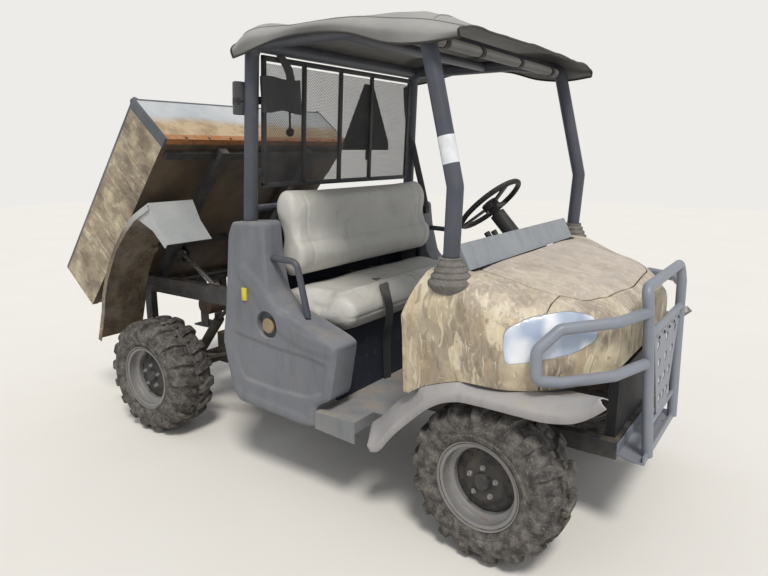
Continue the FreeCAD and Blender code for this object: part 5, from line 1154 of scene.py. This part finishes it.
def make_seat():
    """Cushion and back, each with its seams and hollows, and the back's brackets."""
    cushion = puffed("seat_cushion_padded", CUSHION, 30, 0.012)

    def cushion_shape(x, y, z):
        dz = 0.0
        if z > 800:
            dz -= 6 * seam_dip(abs(y), 7)
            dz -= 5 * seam_dip(x - 1205, 7) * (abs(y) < 520)
            dz += 2.2 * noise(Vector((x / 160, y / 190, 3)))
            for sitter in (-290, 290):
                dz -= 9 * math.exp(-((x - 1040) / 130) ** 2 - ((y - sitter) / 150) ** 2)
        dx = 0.0
        if x > 1240:
            dx -= 4 * seam_dip(z - 792, 6)
        return dx, 0, dz

    shape_by(cushion, cushion_shape)
    placed(cushion, "chassis", "seat_vinyl", "seat_cushion")
    back = puffed("seat_back_padded", BACKREST, 26, 0.01)

    def back_shape(x, y, z):
        dx = 0.0
        if x > 940:
            dx -= 5 * seam_dip(z - 1090, 9)
            dx += 1.8 * noise(Vector((7, y / 170, z / 150)))
            dx -= 4 * seam_dip(abs(y) - 470, 7) * (z > 960)
        return dx, 0, 0

    shape_by(back, back_shape)
    brackets = [block("bracket", (782.5, y - 25, low), (x, y + 25, high), SEAT_BOX, bevel=0.002)
                for y in (-300, 300) for x, low, high in ((885, 1040, 1090), (892, 960, 1000))]
    placed(joined_pieces("seat_back_brackets", brackets), "chassis", "seat_box")
    placed(back, "chassis", "seat_vinyl", "seat_back")


make_seat()

# Canopy

CANOPY_ROWS = [
    # x, then y and z of a half section from the hem to the middle
    (785, [(690, 1866), (700, 1893), (655, 1930), (420, 1944), (0, 1948)]),
    (838, [(705, 1871), (713, 1915), (655, 1964), (420, 1970), (0, 1972)]),
    (1100, [(705, 1915), (713, 1940), (655, 1965), (420, 1973), (0, 1976)]),
    (1400, [(705, 1898), (713, 1930), (655, 1962), (420, 1971), (0, 1974)]),
    (1560, [(705, 1852), (712, 1902), (655, 1952), (420, 1963), (0, 1966)]),
    (1720, [(705, 1839), (708, 1878), (650, 1922), (420, 1936), (0, 1940)]),
    (1835, [(690, 1848), (697, 1864), (640, 1884), (420, 1893), (0, 1899)]),
]


def section_grid(rows, across, along):
    """A smooth grid of points from rows of half sections."""
    full = []
    for x, half in rows:
        line = [(x, -y, z) for y, z in half] + [(x, y, z) for y, z in reversed(half[:-1])]
        s = chord(line)
        full.append(through(line, s, np.linspace(0, s[-1], across)))
    xs = [row[0] for row in rows]
    return through(full, xs, np.linspace(xs[0], xs[-1], along))


BOWS = (832, 1280, 1650)
LIFT = Vector((0, 0, 0.001))  # how far a seam's line stands off the cloth


def make_canopy():
    """One cloth over the roof's tubes, its rim turned down, with its binding and seams."""
    across, along = 161, 91
    grid = section_grid(CANOPY_ROWS, across, along)
    rows = []
    for i in range(along):
        row = []
        for j in range(across):
            x, y, z = grid[i, j]
            edge = min(j, across - 1 - j) / (across - 1)
            top = min(1, max(0, (edge - 0.06) / 0.1))
            sag = 0.0
            for a, b in zip(BOWS, BOWS[1:]):
                if a < x < b:
                    sag = 6 * math.sin(math.pi * (x - a) / (b - a))
            z -= sag * top
            z += top * 3.5 * fractal(Vector((x / 260, y / 200, 1.5)), 0.9, 2, 4)
            for bow in BOWS[1:]:
                z += 3 * math.exp(-((x - bow) / 24) ** 2) * top
            side = math.copysign(1, y)
            hem = max(0, 1 - edge / 0.03)
            y += side * hem * 3 * math.sin(x / 52)
            y -= side * (1 - top) * 2 * (1 + noise(Vector((x / 80, y / 60, z / 60))))
            row.append(at(x, y, z))
        rows.append(row)
    points = [p for row in rows for p in row]
    sheet = new_piece("canopy_cover", points, grid_faces(along, across, flip=True), CANOPY_CLOTH, 60)
    sheet = settled(thickened(sheet, 0.0016, -1))
    soften(sheet.data, 60)
    columns = list(zip(*rows))
    parts = [tube_along("binding", line, 0.0048, BINDING, 8)
             for line in (columns[0], columns[-1], rows[0], rows[-1])]
    bend = 10
    parts += [tube_along("seam", [p + LIFT for p in columns[j]], 0.0028, CANOPY_CLOTH, 6)
              for j in (bend, across - 1 - bend)]
    rear, front = CANOPY_ROWS[0][0], CANOPY_ROWS[-1][0]
    for x in (845, 1284, 1720):
        row = rows[int(round((x - rear) / (front - rear) * (along - 1)))]
        parts.append(tube_along("seam", [p + LIFT for p in row[bend:across - bend]], 0.0026, CANOPY_CLOTH, 6))
    trim = joined_pieces("canopy_piping", parts)
    placed(sheet, "chassis", "canopy_cloth", "roof_canopy")
    placed(trim, "chassis", "canopy_cloth")


make_canopy()

# Rolled curtains

ROLL_SIDES, ROLL_RINGS, SPIRAL_TURNS, SPIRAL_POINTS = 28, 40, 3.2, 60


def rolled(name, start, end, radius, finish, straps):
    """Cloth rolled up on itself: a spiral section with a slack, uneven surface."""
    run, side, up = axes_of(start, end)
    length = (end - start).length
    rings = []
    for i in range(ROLL_RINGS + 1):
        along = i / ROLL_RINGS
        centre = start + run * (length * along)
        ring = []
        pinch = min(1.0, *(0.86 + 0.14 * min(1, abs(along - s) / 0.05) for s in straps))
        for k in range(ROLL_SIDES):
            a = 2 * math.pi * k / ROLL_SIDES
            r = radius * pinch * (0.9 + 0.1 * k / ROLL_SIDES)
            r += radius * 0.07 * fractal(Vector((along * length * 9, math.cos(a) * 1.3, math.sin(a) * 1.3)),
                                         0.9, 2, 3)
            ring.append(centre + side * (r * math.cos(a)) + up * (r * math.sin(a)))
        rings.append(ring)
    body = sweep(name, rings, finish, 55)
    spirals = []
    for centre, way in ((start, -1), (end, 1)):
        line = []
        for k in range(SPIRAL_POINTS):
            share = k / (SPIRAL_POINTS - 1)
            a = share * SPIRAL_TURNS * 2 * math.pi
            r = radius * 0.86 * (1 - share * 0.86)
            line.append(centre + run * (way * 0.0012) + side * (r * math.cos(a)) + up * (r * math.sin(a)))
        spirals.append(tube_along("spiral", line, 0.0016, finish, 5))
    bands = []
    for s in straps:
        centre = start + run * (length * s)
        rings = []
        for k in range(ROLL_SIDES):
            a = 2 * math.pi * k / ROLL_SIDES
            out = side * math.cos(a) + up * math.sin(a)
            rings.append([centre + run * w + out * (radius * 0.93 + d) for w, d in
                          ((-0.014, -0.004), (-0.014, 0.0018), (0.014, 0.0018), (0.014, -0.004))])
        points = [p for ring in rings for p in ring]
        bands.append(facing_out(new_piece("band", points, grid_faces(ROLL_SIDES, 4, True, True), STRAP)))
    return joined_pieces(name, [body] + spirals + bands)


def make_curtains():
    """Rolled curtains: one under the front bow, one tied up beside the rear post."""
    front = rolled("curtain_roll_front", at(1685.4, -590, 1865.4), at(1685.4, 590, 1865.4), 0.0215,
                   CANOPY_CLOTH, straps=(0.06, 0.3, 0.62, 0.94))
    rear = rolled("curtain_roll_rear", at(761.4, -652, 1642), at(770, -652, 1773), 0.027, CURTAIN_CLOTH,
                  straps=(0.4,))
    placed(front, "chassis", "curtain", "rolled_curtains")
    placed(rear, "chassis", "curtain")


make_curtains()

# Boots

POST_X, POST_SIDE = 1804, 650


def make_boots():
    """Rubber bellows where the front posts go through the body."""
    folds, round_steps = 4, 48
    profile = [(1000, 0.066), (1022, 0.081), (1036, 0.0835)]
    for i in range(folds * 8 + 1):
        u = i / (folds * 8)
        wave = 0.5 - 0.5 * math.cos(2 * math.pi * folds * u)
        profile.append((1040 + 82 * u, 0.0815 - 0.0405 * u - 0.0075 * wave * (1 - 0.35 * u)))
    profile += [(1123.5, 0.036), (1123.5, 0.0315), (1000, 0.0315)]
    parts = []
    for name, side in SIDES:
        points = []
        for z, radius in profile:
            for k in range(round_steps):
                a = 2 * math.pi * k / round_steps
                slack = 1 + 0.012 * noise(Vector((math.cos(a) * 2, math.sin(a) * 2, z / 25 + side)))
                r = radius * (slack if radius > 0.037 else 1)
                points.append(at(POST_X, side * POST_SIDE, z) + Vector((r * math.cos(a), r * math.sin(a), 0)))
        faces = grid_faces(len(profile), round_steps, True, True)
        parts.append(facing_out(new_piece("bellows", points, faces, BOOT_RUBBER, 60)))
        collar = circle(at(POST_X, side * POST_SIDE, 1121), Vector((1, 0, 0)), Vector((0, 1, 0)), 0.039, 36)
        parts.append(tube_along("collar", collar + collar[:1], 0.0035, BOOT_RUBBER, 8))
    placed(joined_pieces("post_bellows", parts), "chassis", "boot_rubber", "post_boots")


make_boots()

# Screen

SCREEN_TILT = math.radians(3)
SCREEN_LOW, SCREEN_TOP = 1338, 1886
DIAMOND_WIDTH, DIAMOND_RISE, WIRE_WIDTH, WIRE_DEPTH = 11.0, 6.6, 1.6, 0.7
SIGN_FACE = [(9, 1493), (415, 1493), (415, 1530), (250, 1830), (174, 1830), (9, 1530)]


def leaned(p):
    """From upright to the rear posts' slope."""
    pivot = at(806, 0, SCREEN_LOW)
    return pivot + Matrix.Rotation(SCREEN_TILT, 3, "Y") @ (p - pivot)


def zigzag(x, y0, y1, z, up):
    """One strand that runs along y and swings in z, as a flat band with thickness."""
    count = max(2, int(round((y1 - y0) / DIAMOND_WIDTH)) * 2)
    half = DIAMOND_RISE / 2
    rings = []
    for i in range(count + 1):
        y = y0 + (y1 - y0) * i / count
        middle = z + (half if (i % 2) == up else -half)
        rings.append([at(x + a * WIRE_DEPTH, y, middle + b * WIRE_WIDTH)
                      for a, b in ((-1, -1), (1, -1), (1, 1), (-1, 1))])
    return sweep("strand", rings, SCREEN_BLACK)


def make_screen():
    """Screen between the rear posts, up to the roof's rear bow: its frame and its expanded mesh."""
    boxes = [((806, y - 11, SCREEN_LOW), (820, y + 11, SCREEN_TOP)) for y in (-572, -315, -47, 212, 572)]
    boxes += [((806, -583, z - 8), (820, 583, z + 14)) for z in (SCREEN_LOW, SCREEN_TOP - 14)]
    boxes += [((808, y, z - 16), (816, y + 52, z + 16)) for z in (1400, 1700) for y in (-622, 570)]
    frame_piece = joined_pieces("screen_bars", [block("bar", low, high, SCREEN_BLACK, bevel=0.002)
                                                for low, high in boxes])
    parts = []
    low_z, high_z, rise = 1352.5, SCREEN_TOP - 22, DIAMOND_RISE
    count = int((high_z - low_z - 2 * rise) / (2 * rise)) + 1
    for y0, y1 in ((-560.5, -326.5), (-303.5, -58.5), (-35.5, 200.5), (223.5, 560.5)):
        for up in (0, 1):
            strand = zigzag(812 + up * 0.3, y0, y1, low_z + rise / 2 + 0.6 + up * rise, up)
            parts.append(in_a_row(strand, count, SCREEN_BLACK, (0.0, 0.0, 2 * rise / 1000)))
    mesh = joined_pieces("screen_wire", parts)
    sign = joined_pieces("sign_face", [
        prism("face", offset_outline(SIGN_FACE, -inset), x, x + 0.9, "x", finish)
        for inset, x, finish in ((6, 791.2, SIGN_RED), (52, 790.4, SIGN_ORANGE))])
    for obj in (frame_piece, mesh, sign):
        for v in obj.data.vertices:
            v.co = leaned(v.co)
    placed(frame_piece, "chassis", "frame_black", "rear_screen")
    placed(mesh, "chassis", "mesh_black", "screen_mesh")
    placed(sign, "chassis", "sign")


make_screen()

# Front body

BODY_ROWS = [
    # x, then y and z of a half section from the foot of the side to the middle of the top
    (1640, [(700, 560), (712, 800), (711, 1000), (684, 1049), (500, 1062), (0, 1066)]),
    (1842, [(700, 640), (712, 820), (710, 992), (680, 1044), (500, 1062), (0, 1068)]),
    (2060, [(668, 660), (684, 820), (655, 930), (600, 985), (470, 1014), (0, 1030)]),
    (2180, [(582, 660), (598, 800), (584, 905), (550, 955), (440, 985), (0, 1000)]),
    (2262, [(484, 680), (502, 790), (490, 880), (458, 925), (380, 955), (0, 968)]),
    (2335, [(400, 702), (413, 780), (400, 850), (360, 885), (280, 905), (0, 915)]),
]
HOOD_PLAN = [(1852, 505), (1990, 500), (2130, 470), (2215, 415), (2258, 300), (2272, 0)]
LAMP_OUTLINE = [(2033, 905), (2096, 944), (2185, 960), (2232, 946), (2262, 930), (2284, 862), (2225, 818),
                (2043, 783), (2031, 850)]
FLARE_ROWS = [
    # lower edge x, z, upper edge x, z, and how far in the sheet's fold and its inner edge are
    (1508, 326, 1446, 402, 640, 608),
    (1550, 345, 1500, 446, 640, 608),
    (1620, 432, 1560, 512, 640, 608),
    (1690, 502, 1640, 582, 640, 608),
    (1754, 562, 1716, 634, 704, 697),
    (1818, 604, 1798, 668, 704, 697),
    (1884, 626, 1874, 690, 704, 697),
    (1946, 630, 1946, 692, 640, 500),
    (2033, 630, 2033, 688, 640, 500),
    (2116, 629, 2116, 688, 640, 500),
    (2195, 629, 2190, 690, 644, 515),
    (2270, 642, 2240, 700, 652, 548),
    (2317, 661, 2289, 716, 664, 588),
    (2361, 692, 2336, 733, 680, 632),
    (2395, 723, 2370, 746, 698, 676),
]


def eased(points, per_edge=5):
    """An outline's corners rounded by a smooth curve through its edges' thirds."""
    made = []
    corners = [np.array(p, float) for p in points]
    for c, a, b in zip(corners[-1:] + corners, corners, corners[1:] + corners[:1]):
        into = a + (c - a) * min(0.33, 24 / max(np.linalg.norm(c - a), 1))
        out = a + (b - a) * min(0.33, 24 / max(np.linalg.norm(b - a), 1))
        for k in range(per_edge):
            u = k / (per_edge - 1)
            made.append(tuple(into * (1 - u) ** 2 + a * 2 * u * (1 - u) + out * u ** 2))
    return made


def make_body_shell(inset, wall):
    """The front body as one smooth moulding with its front face, inset by a little, as a closed shell."""
    across, along = 97, 61
    grid = section_grid(BODY_ROWS, across, along)
    nose = BODY_ROWS[-1][0]
    middle = np.array([nose, 0, 705.0])
    last = grid[-1]
    extra = []
    for share, x in ((0.975, nose - 1), (0.9, nose), (0.6, nose), (0.3, nose), (0.02, nose)):
        ring = middle + (last - middle) * share
        ring[:, 0] = x
        extra.append(ring)
    grid = np.concatenate([grid[:-1], [last - [2.0, 0, 0]], extra])
    points = [at(*p) for row in grid for p in row]
    faces = grid_faces(len(grid), across, flip=True)
    obj = facing_out(new_piece("body_shell", points, faces, CAMO_PANEL))
    if max(obj.data.polygons, key=lambda face: face.center.z).normal.z < 0:
        obj.data.flip_normals()
    if inset:
        inward = obj.modifiers.new("inset", "DISPLACE")
        inward.strength = -inset
        inward.mid_level = 0
    return settled(thickened(obj, wall, -1))


LENS_FROM, LINER_FROM, SIDE_REACH = 360, 330, 740  # distances off the middle
PANEL_END, FASCIA_START = 2136.5, 2141.5  # the gap between side panel and front face


def post_cut(side):
    foot, head = (at(POST_X, side * POST_SIDE, z) for z in (885, 1180))
    return rod("post_cut", foot, head, 0.036)


def lamp_tool(outline, near):
    """A side outline pushed through both sides of the body, but not through its middle."""
    return joined_pieces("lamp_tool", [prism("right", outline, -SIDE_REACH, -near),
                                       prism("left", outline, near, SIDE_REACH)])


def make_front_body():
    """One moulding cut into hood, side panels, front face and lamp covers, with gaps between."""
    shell = make_body_shell(0, 0.005)
    rear_cut = [(1600, 640), (1625, 655), (1637, 898), (1708, 1053), (1708, 1100), (1600, 1100)]
    flare_line = [(row[2], row[3] + 0.8) for row in FLARE_ROWS]
    wanted = np.linspace(flare_line[0][0], flare_line[-1][0], 40)
    flare_line = [tuple(p) for p in through(flare_line, [p[0] for p in flare_line], wanted)]
    under = [(1400, 400)] + flare_line + [(2500, 800), (2500, 400)]
    dash_room = [(1590, -566), (1850, -566), (1850, 566), (1590, 566)]
    carved(shell, "DIFFERENCE", prism("tool", dash_room, 1000, 1200, "z"), prism("tool", rear_cut, -800, 800),
           prism("tool", under, -800, 800), post_cut(-1), post_cut(1))
    plan = HOOD_PLAN + [(x, -y) for x, y in reversed(HOOD_PLAN) if y > 0]
    plan = [plan[0]] + eased(plan)[5:-5] + [plan[-1]]
    hood = carved(copied(shell, "hood_skin"), "INTERSECT", prism("tool", plan, 880, 1200, "z"))
    rest = carved(copied(shell, "rest"), "DIFFERENCE",
                  prism("tool", offset_outline(plan, 5.0), 880, 1200, "z"))
    lamp = eased(LAMP_OUTLINE, 6)
    lens = carved(copied(rest, "lamp_covers"), "INTERSECT", lamp_tool(lamp, LENS_FROM))
    carved(rest, "DIFFERENCE", lamp_tool(offset_outline(lamp, 1.2), LENS_FROM))
    panels, fascia = (
        carved(copied(rest, name), "INTERSECT",
               prism("half", [(rear, 600), (front, 600), (front, 1100), (rear, 1100)], -800, 800))
        for name, rear, front in (("side_panels", 1600, PANEL_END), ("fascia_skin", FASCIA_START, 2400)))
    bpy.data.objects.remove(rest)
    bpy.data.objects.remove(shell)
    for obj, finish, slot, node in ((hood, CAMO_HOOD, "camo_plastic", "hood"),
                                    (panels, CAMO_PANEL, "camo_plastic", "front_panels"),
                                    (fascia, CAMO_PANEL, "camo_plastic", "front_fascia"),
                                    (lens, COVER, "lamp_clear", "headlights")):
        repainted(obj, finish)
        finished(obj, 0.0016, 50, 40)
        placed(obj, "hood" if node == "hood" else "chassis", slot, node)
    liner = make_body_shell(0.03, 0.003)
    carved(liner, "INTERSECT", lamp_tool(offset_outline(lamp, 10), LINER_FROM))
    liner.name = "lamp_housings"
    repainted(liner, REFLECTOR)
    soften(liner.data, 40)
    placed(liner, "chassis", "lamp_clear")


make_front_body()

# Flares

OUTSIDE, LIP = 735.0, 6.0


def make_flares():
    """Front wheel arches, bent smooth along the arch, with their rolled lip."""
    rows = np.array(FLARE_ROWS, float)
    order = np.arange(len(rows))
    wanted = np.linspace(0, len(rows) - 1, 71)
    edge_lines = through(rows[:, :4], order, wanted)
    folds = np.column_stack([np.interp(wanted, order, rows[:, k]) for k in (4, 5)])
    for name, side in SIDES:
        rings = []
        for (low_x, low_z, up_x, up_z), (fold_y, inner_y) in zip(edge_lines, folds):
            length = math.hypot(up_x - low_x, up_z - low_z)
            run_x, run_z = (up_x - low_x) / length, (up_z - low_z) / length
            deep = length - 16
            # distance up the sheet from its lower edge, and y
            ring = [(0, OUTSIDE), (20, OUTSIDE), (31, OUTSIDE - 3), (38, OUTSIDE - 13), (length, fold_y),
                    (deep, inner_y), (deep - LIP, inner_y), (length - LIP, fold_y), (38 - LIP, OUTSIDE - 18),
                    (18, OUTSIDE - LIP), (0, OUTSIDE - LIP)]
            rings.append([at(low_x + run_x * d, side * y, low_z + run_z * d) for d, y in ring])
        obj = sweep("arch_%s" % name, rings, FLARE_GREY, 30)
        finished(obj, 0.002, 25, 30)
        placed(obj, "chassis", "moulded_grey", *(["fender_flares"] if side < 0 else []))


make_flares()

# Cowls beside the seat

COWL_OUTLINE = [
    (736, 1187), (926, 1195), (934, 1055), (965, 900), (1023, 835), (1236, 763), (1314, 734), (1339, 716),
    (1298, 488), (1216, 444), (1216, 352), (1139, 346), (759, 370), (723, 421), (690, 560), (673, 643),
    (708, 836), (712, 1129),
]


def near_line(xs, zs, line):
    """Distances from an array of points to a line of points, all in millimetres."""
    best = np.full(np.shape(xs), 1e9)
    for (ax, az), (bx, bz) in zip(line, line[1:]):
        dx, dz = bx - ax, bz - az
        t = np.clip(((xs - ax) * dx + (zs - az) * dz) / (dx * dx + dz * dz), 0, 1)
        best = np.minimum(best, np.hypot(xs - ax - t * dx, zs - az - t * dz))
    return best


def inside_outline(xs, zs, outline):
    """True for each point that a closed outline holds."""
    odd = np.zeros(np.shape(xs), bool)
    for (xi, zi), (xj, zj) in zip(outline, outline[1:] + outline[:1]):
        if zi != zj:
            odd ^= ((zi > zs) != (zj > zs)) & (xs < (xj - xi) * (zs - zi) / (zj - zi) + xi)
    return odd


RIDGE = [(812, 968), (905, 905), (985, 800), (1085, 742), (1180, 716), (1300, 708)]
RECESS = [(742, 700), (820, 690), (1000, 668), (1180, 660), (1290, 640), (1262, 506), (1180, 468),
          (1000, 462), (800, 474), (760, 520), (736, 600)]


def cowl_relief(xs, zs):
    """How far the cowl's outer face stands in from its widest plane."""
    border = near_line(xs, zs, COWL_OUTLINE[11:18] + [COWL_OUTLINE[0]])
    deep = 7 / (1 + np.exp(np.clip((44 - border) / 5, -30, 30)))
    recess = near_line(xs, zs, RECESS + RECESS[:1])
    deep = deep + np.where(inside_outline(xs, zs, RECESS), 9 * np.minimum(1, recess / 16), 0)
    ridge = near_line(xs, zs, RIDGE)
    deep = deep - 9 * np.clip(1 - (ridge / 46) ** 2, 0, 1) ** 1.3
    edge = near_line(xs, zs, COWL_OUTLINE + COWL_OUTLINE[:1])
    deep = np.maximum(0, deep)
    inside = inside_outline(xs, zs, COWL_OUTLINE)
    return deep + np.where(inside, 9 * np.clip(1 - edge / 18, 0, 1) ** 2, 9)


def blurred(field, passes):
    """A height field with each point eased towards its neighbours."""
    for k in range(passes):
        wide = np.pad(field, 1, mode="edge")
        beside = wide[:-2, 1:-1] + wide[2:, 1:-1] + wide[1:-1, :-2] + wide[1:-1, 2:]
        field = (wide[1:-1, 1:-1] * 4 + beside) / 8
    return field


COWL_INNER = 592
FILLER_X, FILLER_Z = 955, 758


def make_cowls():
    """Both cowls from one height field, cut to their outline, and the filler neck in the right one."""
    step = 4.5
    xs, zs = np.meshgrid(np.arange(664, 1349, step), np.arange(338, 1204, step))
    field = blurred(cowl_relief(xs, zs), 3)
    rows, columns = field.shape
    base = rows * columns
    rim = list(range(columns)) + [i * columns + columns - 1 for i in range(1, rows)]
    rim += [(rows - 1) * columns + j for j in range(columns - 2, -1, -1)]
    rim += [i * columns for i in range(rows - 2, 0, -1)]
    xs, zs = xs.ravel(), zs.ravel()
    ys = OUTSIDE - np.maximum(0, zs - 850) * 44 / 450 - field.ravel()
    count = len(rim)
    faces = grid_faces(rows, columns)
    faces += [[rim[k], base + k, base + (k + 1) % count, rim[(k + 1) % count]] for k in range(count)]
    faces.append([base + k for k in range(count)])
    for name, side in SIDES:
        outer = [at(x, side * y, z) for x, y, z in zip(xs, ys, zs)]
        inner = [at(xs[i], side * COWL_INNER, zs[i]) for i in rim]
        obj = facing_out(new_piece("cowl_%s" % name, outer + inner, faces, MOULDED))
        carved(obj, "INTERSECT", prism("outline", eased(COWL_OUTLINE, 5), -800, 800))
        tools = [rod("post", at(790, side * 640, 400), at(790, side * 640, 1300), 0.036)]
        if side < 0:
            tools.append(rod("neck", at(FILLER_X, -690, FILLER_Z), at(FILLER_X, -790, FILLER_Z), 0.062,
                             sides=48))
        carved(obj, "DIFFERENCE", *tools)
        finished(obj, 0.0025, 40, 35)
        placed(obj, "chassis", "moulded_grey", "side_cowl_%s" % name)
    cup = spun("cup", [(-722, 62), (-725, 67), (-722, 69), (-690, 65), (-687, 60), (-687, 0.3), (-690, 0.3),
                       (-691, 58), (-694, 61)], MOULDED, 48, around=at(FILLER_X, 0, FILLER_Z))
    cap = spun("cap", [(-688, 27), (-708, 27), (-712, 33), (-722, 33), (-725, 29), (-725, 0.3), (-688, 0.3)],
               CAP_TAN, 40, around=at(FILLER_X, 0, FILLER_Z - 6))
    placed(joined_pieces("filler_neck", [cup, cap]), "chassis", "moulded_grey")


make_cowls()

# Straps, patches and fasteners

# across and deep, as shares of half the width and half the thickness
RIBBON_SECTION = ((-1, -0.5), (-0.96, -1), (0.96, -1), (1, -0.5), (1, 0.5), (0.96, 1), (-0.96, 1), (-1, 0.5))


def ribbon(name, points, width, thick, finish, across):
    """A flat strap through a few points in millimetres, its width along a direction."""
    marks = chord(points)
    count = max(12, int(marks[-1] / 12))
    line = [at(*p) for p in through(points, marks, np.linspace(0, marks[-1], count))]
    rings = []
    for i, p in enumerate(line):
        run = (line[min(i + 1, count - 1)] - line[max(i - 1, 0)]).normalized()
        side = Vector(across)
        side = (side - run * side.dot(run)).normalized()
        up = run.cross(side)
        half, deep = width / 2000, thick / 2000
        rings.append([p + side * (half * a) + up * (deep * b) for a, b in RIBBON_SECTION])
    return sweep(name, rings, finish, 50)


POST_BELT = [(800, 606, 1846), (806, 609, 1720), (822, 612, 1607), (868, 615, 1420), (912, 615, 1262),
             (936, 614, 1168)]
SEAT_BELT = [(952, -84, 882), (1050, -112, 880), (1150, -166, 886), (1225, -236, 887), (1268, -290, 884),
             (1302, -318, 850), (1310, -312, 794), (1294, -296, 716), (1262, -262, 640), (1250, -244, 540),
             (1250, -240, 420)]
BUCKLES = [
    # distance to the side, half width, x and z of both ends, finish and bevel
    (577, 9, 896, 918, 852, 962, CONTROL_BLACK, 0.004),
    (577, 13, 884, 930, 948, 984, CONTROL_BLACK, 0.006),
    (577, 12, 887, 927, 966, 995, SIGN_RED, 0.006),
    (80, 13, 850, 905, 870, 879, CONTROL_BLACK, 0.003),
    (80, 20, 898, 952, 868, 892, CONTROL_BLACK, 0.005),
    (80, 13, 950, 957, 873, 888, SIGN_RED, 0.003),
]


def make_belts():
    """Belts: webbing down the left rear post, buckles and the strap over the cushion's front."""
    parts = [ribbon("web", POST_BELT, 46, 1.8, STRAP, (0.35, 1, 0)),
             ribbon("web", SEAT_BELT, 44, 1.8, STRAP, (0.3, 1, 0)),
             block("guide", (796, 592, 1822), (812, 632, 1852), CONTROL_BLACK, bevel=0.003),
             block("anchor", (926, 592, 1130), (950, 636, 1176), CONTROL_BLACK, bevel=0.004)]
    for aside, half, x0, x1, z0, z1, finish, bevel in BUCKLES:
        parts += [block("buckle", (x0, y - half, z0), (x1, y + half, z1), finish, bevel=bevel)
                  for y in (-aside, aside)]
    placed(joined_pieces("seat_belts", parts), "chassis", "controls_black")


def make_patches():
    """Blank sleeves and patches where the photograph has stuck labels."""
    low, high = Vector((1816, -655, 1370)), Vector((1688, -648, 1886))  # the right front post's axis
    run = (high - low) / (high.z - low.z)
    line = [at(*(low + run * (z - low.z))) for z in (1447, 1470, 1500, 1530, 1540)]
    sleeve = tube_along("sleeve", line, 0.0307, LABEL_WHITE, 40)
    patch = block("patch", (815, -735.9, 850), (841, -726, 906), LABEL_YELLOW, bevel=0.001)
    placed(joined_pieces("blank_patches", [sleeve, patch]), "chassis", "controls_black")


FLAP_RIGHT, FLAP_LEFT = -608, -366
FLAP_LOW, FLAP_HIGH = 1655, 1797


def make_flap():
    """Folded curtain end that hangs before the screen, with its strap and toggle."""
    columns, rows = 26, 18
    layers = []
    for layer, x in enumerate((853, 861)):
        points = []
        for i in range(rows):
            z = FLAP_LOW + (FLAP_HIGH - FLAP_LOW) * i / (rows - 1)
            for j in range(columns):
                share = j / (columns - 1)
                y = FLAP_RIGHT + (FLAP_LEFT - FLAP_RIGHT) * share
                bow = 3 * math.sin(share * 9 + layer) + 2 * noise(Vector((y / 50, z / 60, layer)))
                droop = 7 * math.sin(share * math.pi * 2.2 + 1) * (1 - i / (rows - 1))
                points.append(at(x + bow, y, z - droop + (4 * math.sin(share * 7) if i == rows - 1 else 0)))
        sheet = new_piece("fold", points, grid_faces(rows, columns), CURTAIN_CLOTH, 60)
        layers.append(settled(thickened(sheet, 0.003, 0)))
    flap = joined_pieces("curtain_flap", layers)
    upward = [(858, -425, FLAP_LOW + 30), (862, -428, 1780), (862, -446, 1838), (852, -470, 1880),
              (842, -478, 1898)]
    downward = [(858, -440, FLAP_LOW + 6), (858, -441, FLAP_LOW - 34), (858, -441, FLAP_LOW - 66)]
    strap = ribbon("web", upward, 52, 2.5, CURTAIN_CLOTH, (0, 1, 0))
    hang = ribbon("web", downward, 12, 2, STRAP, (0, 1, 0))
    toggle = rod("toggle", at(848, -441, FLAP_LOW - 84), at(866, -441, FLAP_LOW - 84), 0.02, STRAP, 24, 0.004)
    trim = joined_pieces("flap_straps", [strap, hang, toggle])
    placed(flap, "chassis", "curtain")
    placed(trim, "chassis", "curtain")


# height above the sheet in metres, and share of the radius, from a screw's foot to its recess
SCREW_SECTION = ((-0.002, 1.0), (0.0008, 1.0), (0.0022, 0.82), (0.003, 0.45), (0.003, 0.3), (0.0018, 0.25))


def screw_row(count, start, step, finish, radius, out):
    """Domed screws in a row, from a place and a step in millimetres."""
    base, way = at(*start), Vector(out)
    side = way.orthogonal().normalized()
    rings = [circle(base + way * lift, side, way.cross(side), share * radius / 1000, 12)
             for lift, share in SCREW_SECTION]
    return in_a_row(sweep("screw", rings, finish, 40), count, finish, tuple(v / 1000 for v in step))


def make_fasteners():
    """Screws of the guard's plate and of the floor, and those along the foot of the bed's front wall."""
    parts = [screw_row(5, (2423.5, -180, 820), (0, 90, 0), CONTROL_BLACK, 7, (1, 0, 0)),
             screw_row(4, (1660, -270, 403), (0, 180, 0), CONTROL_BLACK, 7, (0, 0, 1))]
    placed(joined_pieces("panel_screws", parts), "chassis", "controls_black")
    row = screw_row(9, (691, -560, 826), (0, 140, 0), IRON, 9, (1, 0, 0))
    for v in row.data.vertices:
        v.co = on_bed(*in_mm(v.co))
    placed(joined_pieces("bed_screws", [row]), "bed", "frame_paint")


make_belts()
make_patches()
make_flap()
make_fasteners()

bpy.context.scene.view_settings.view_transform = "Standard"
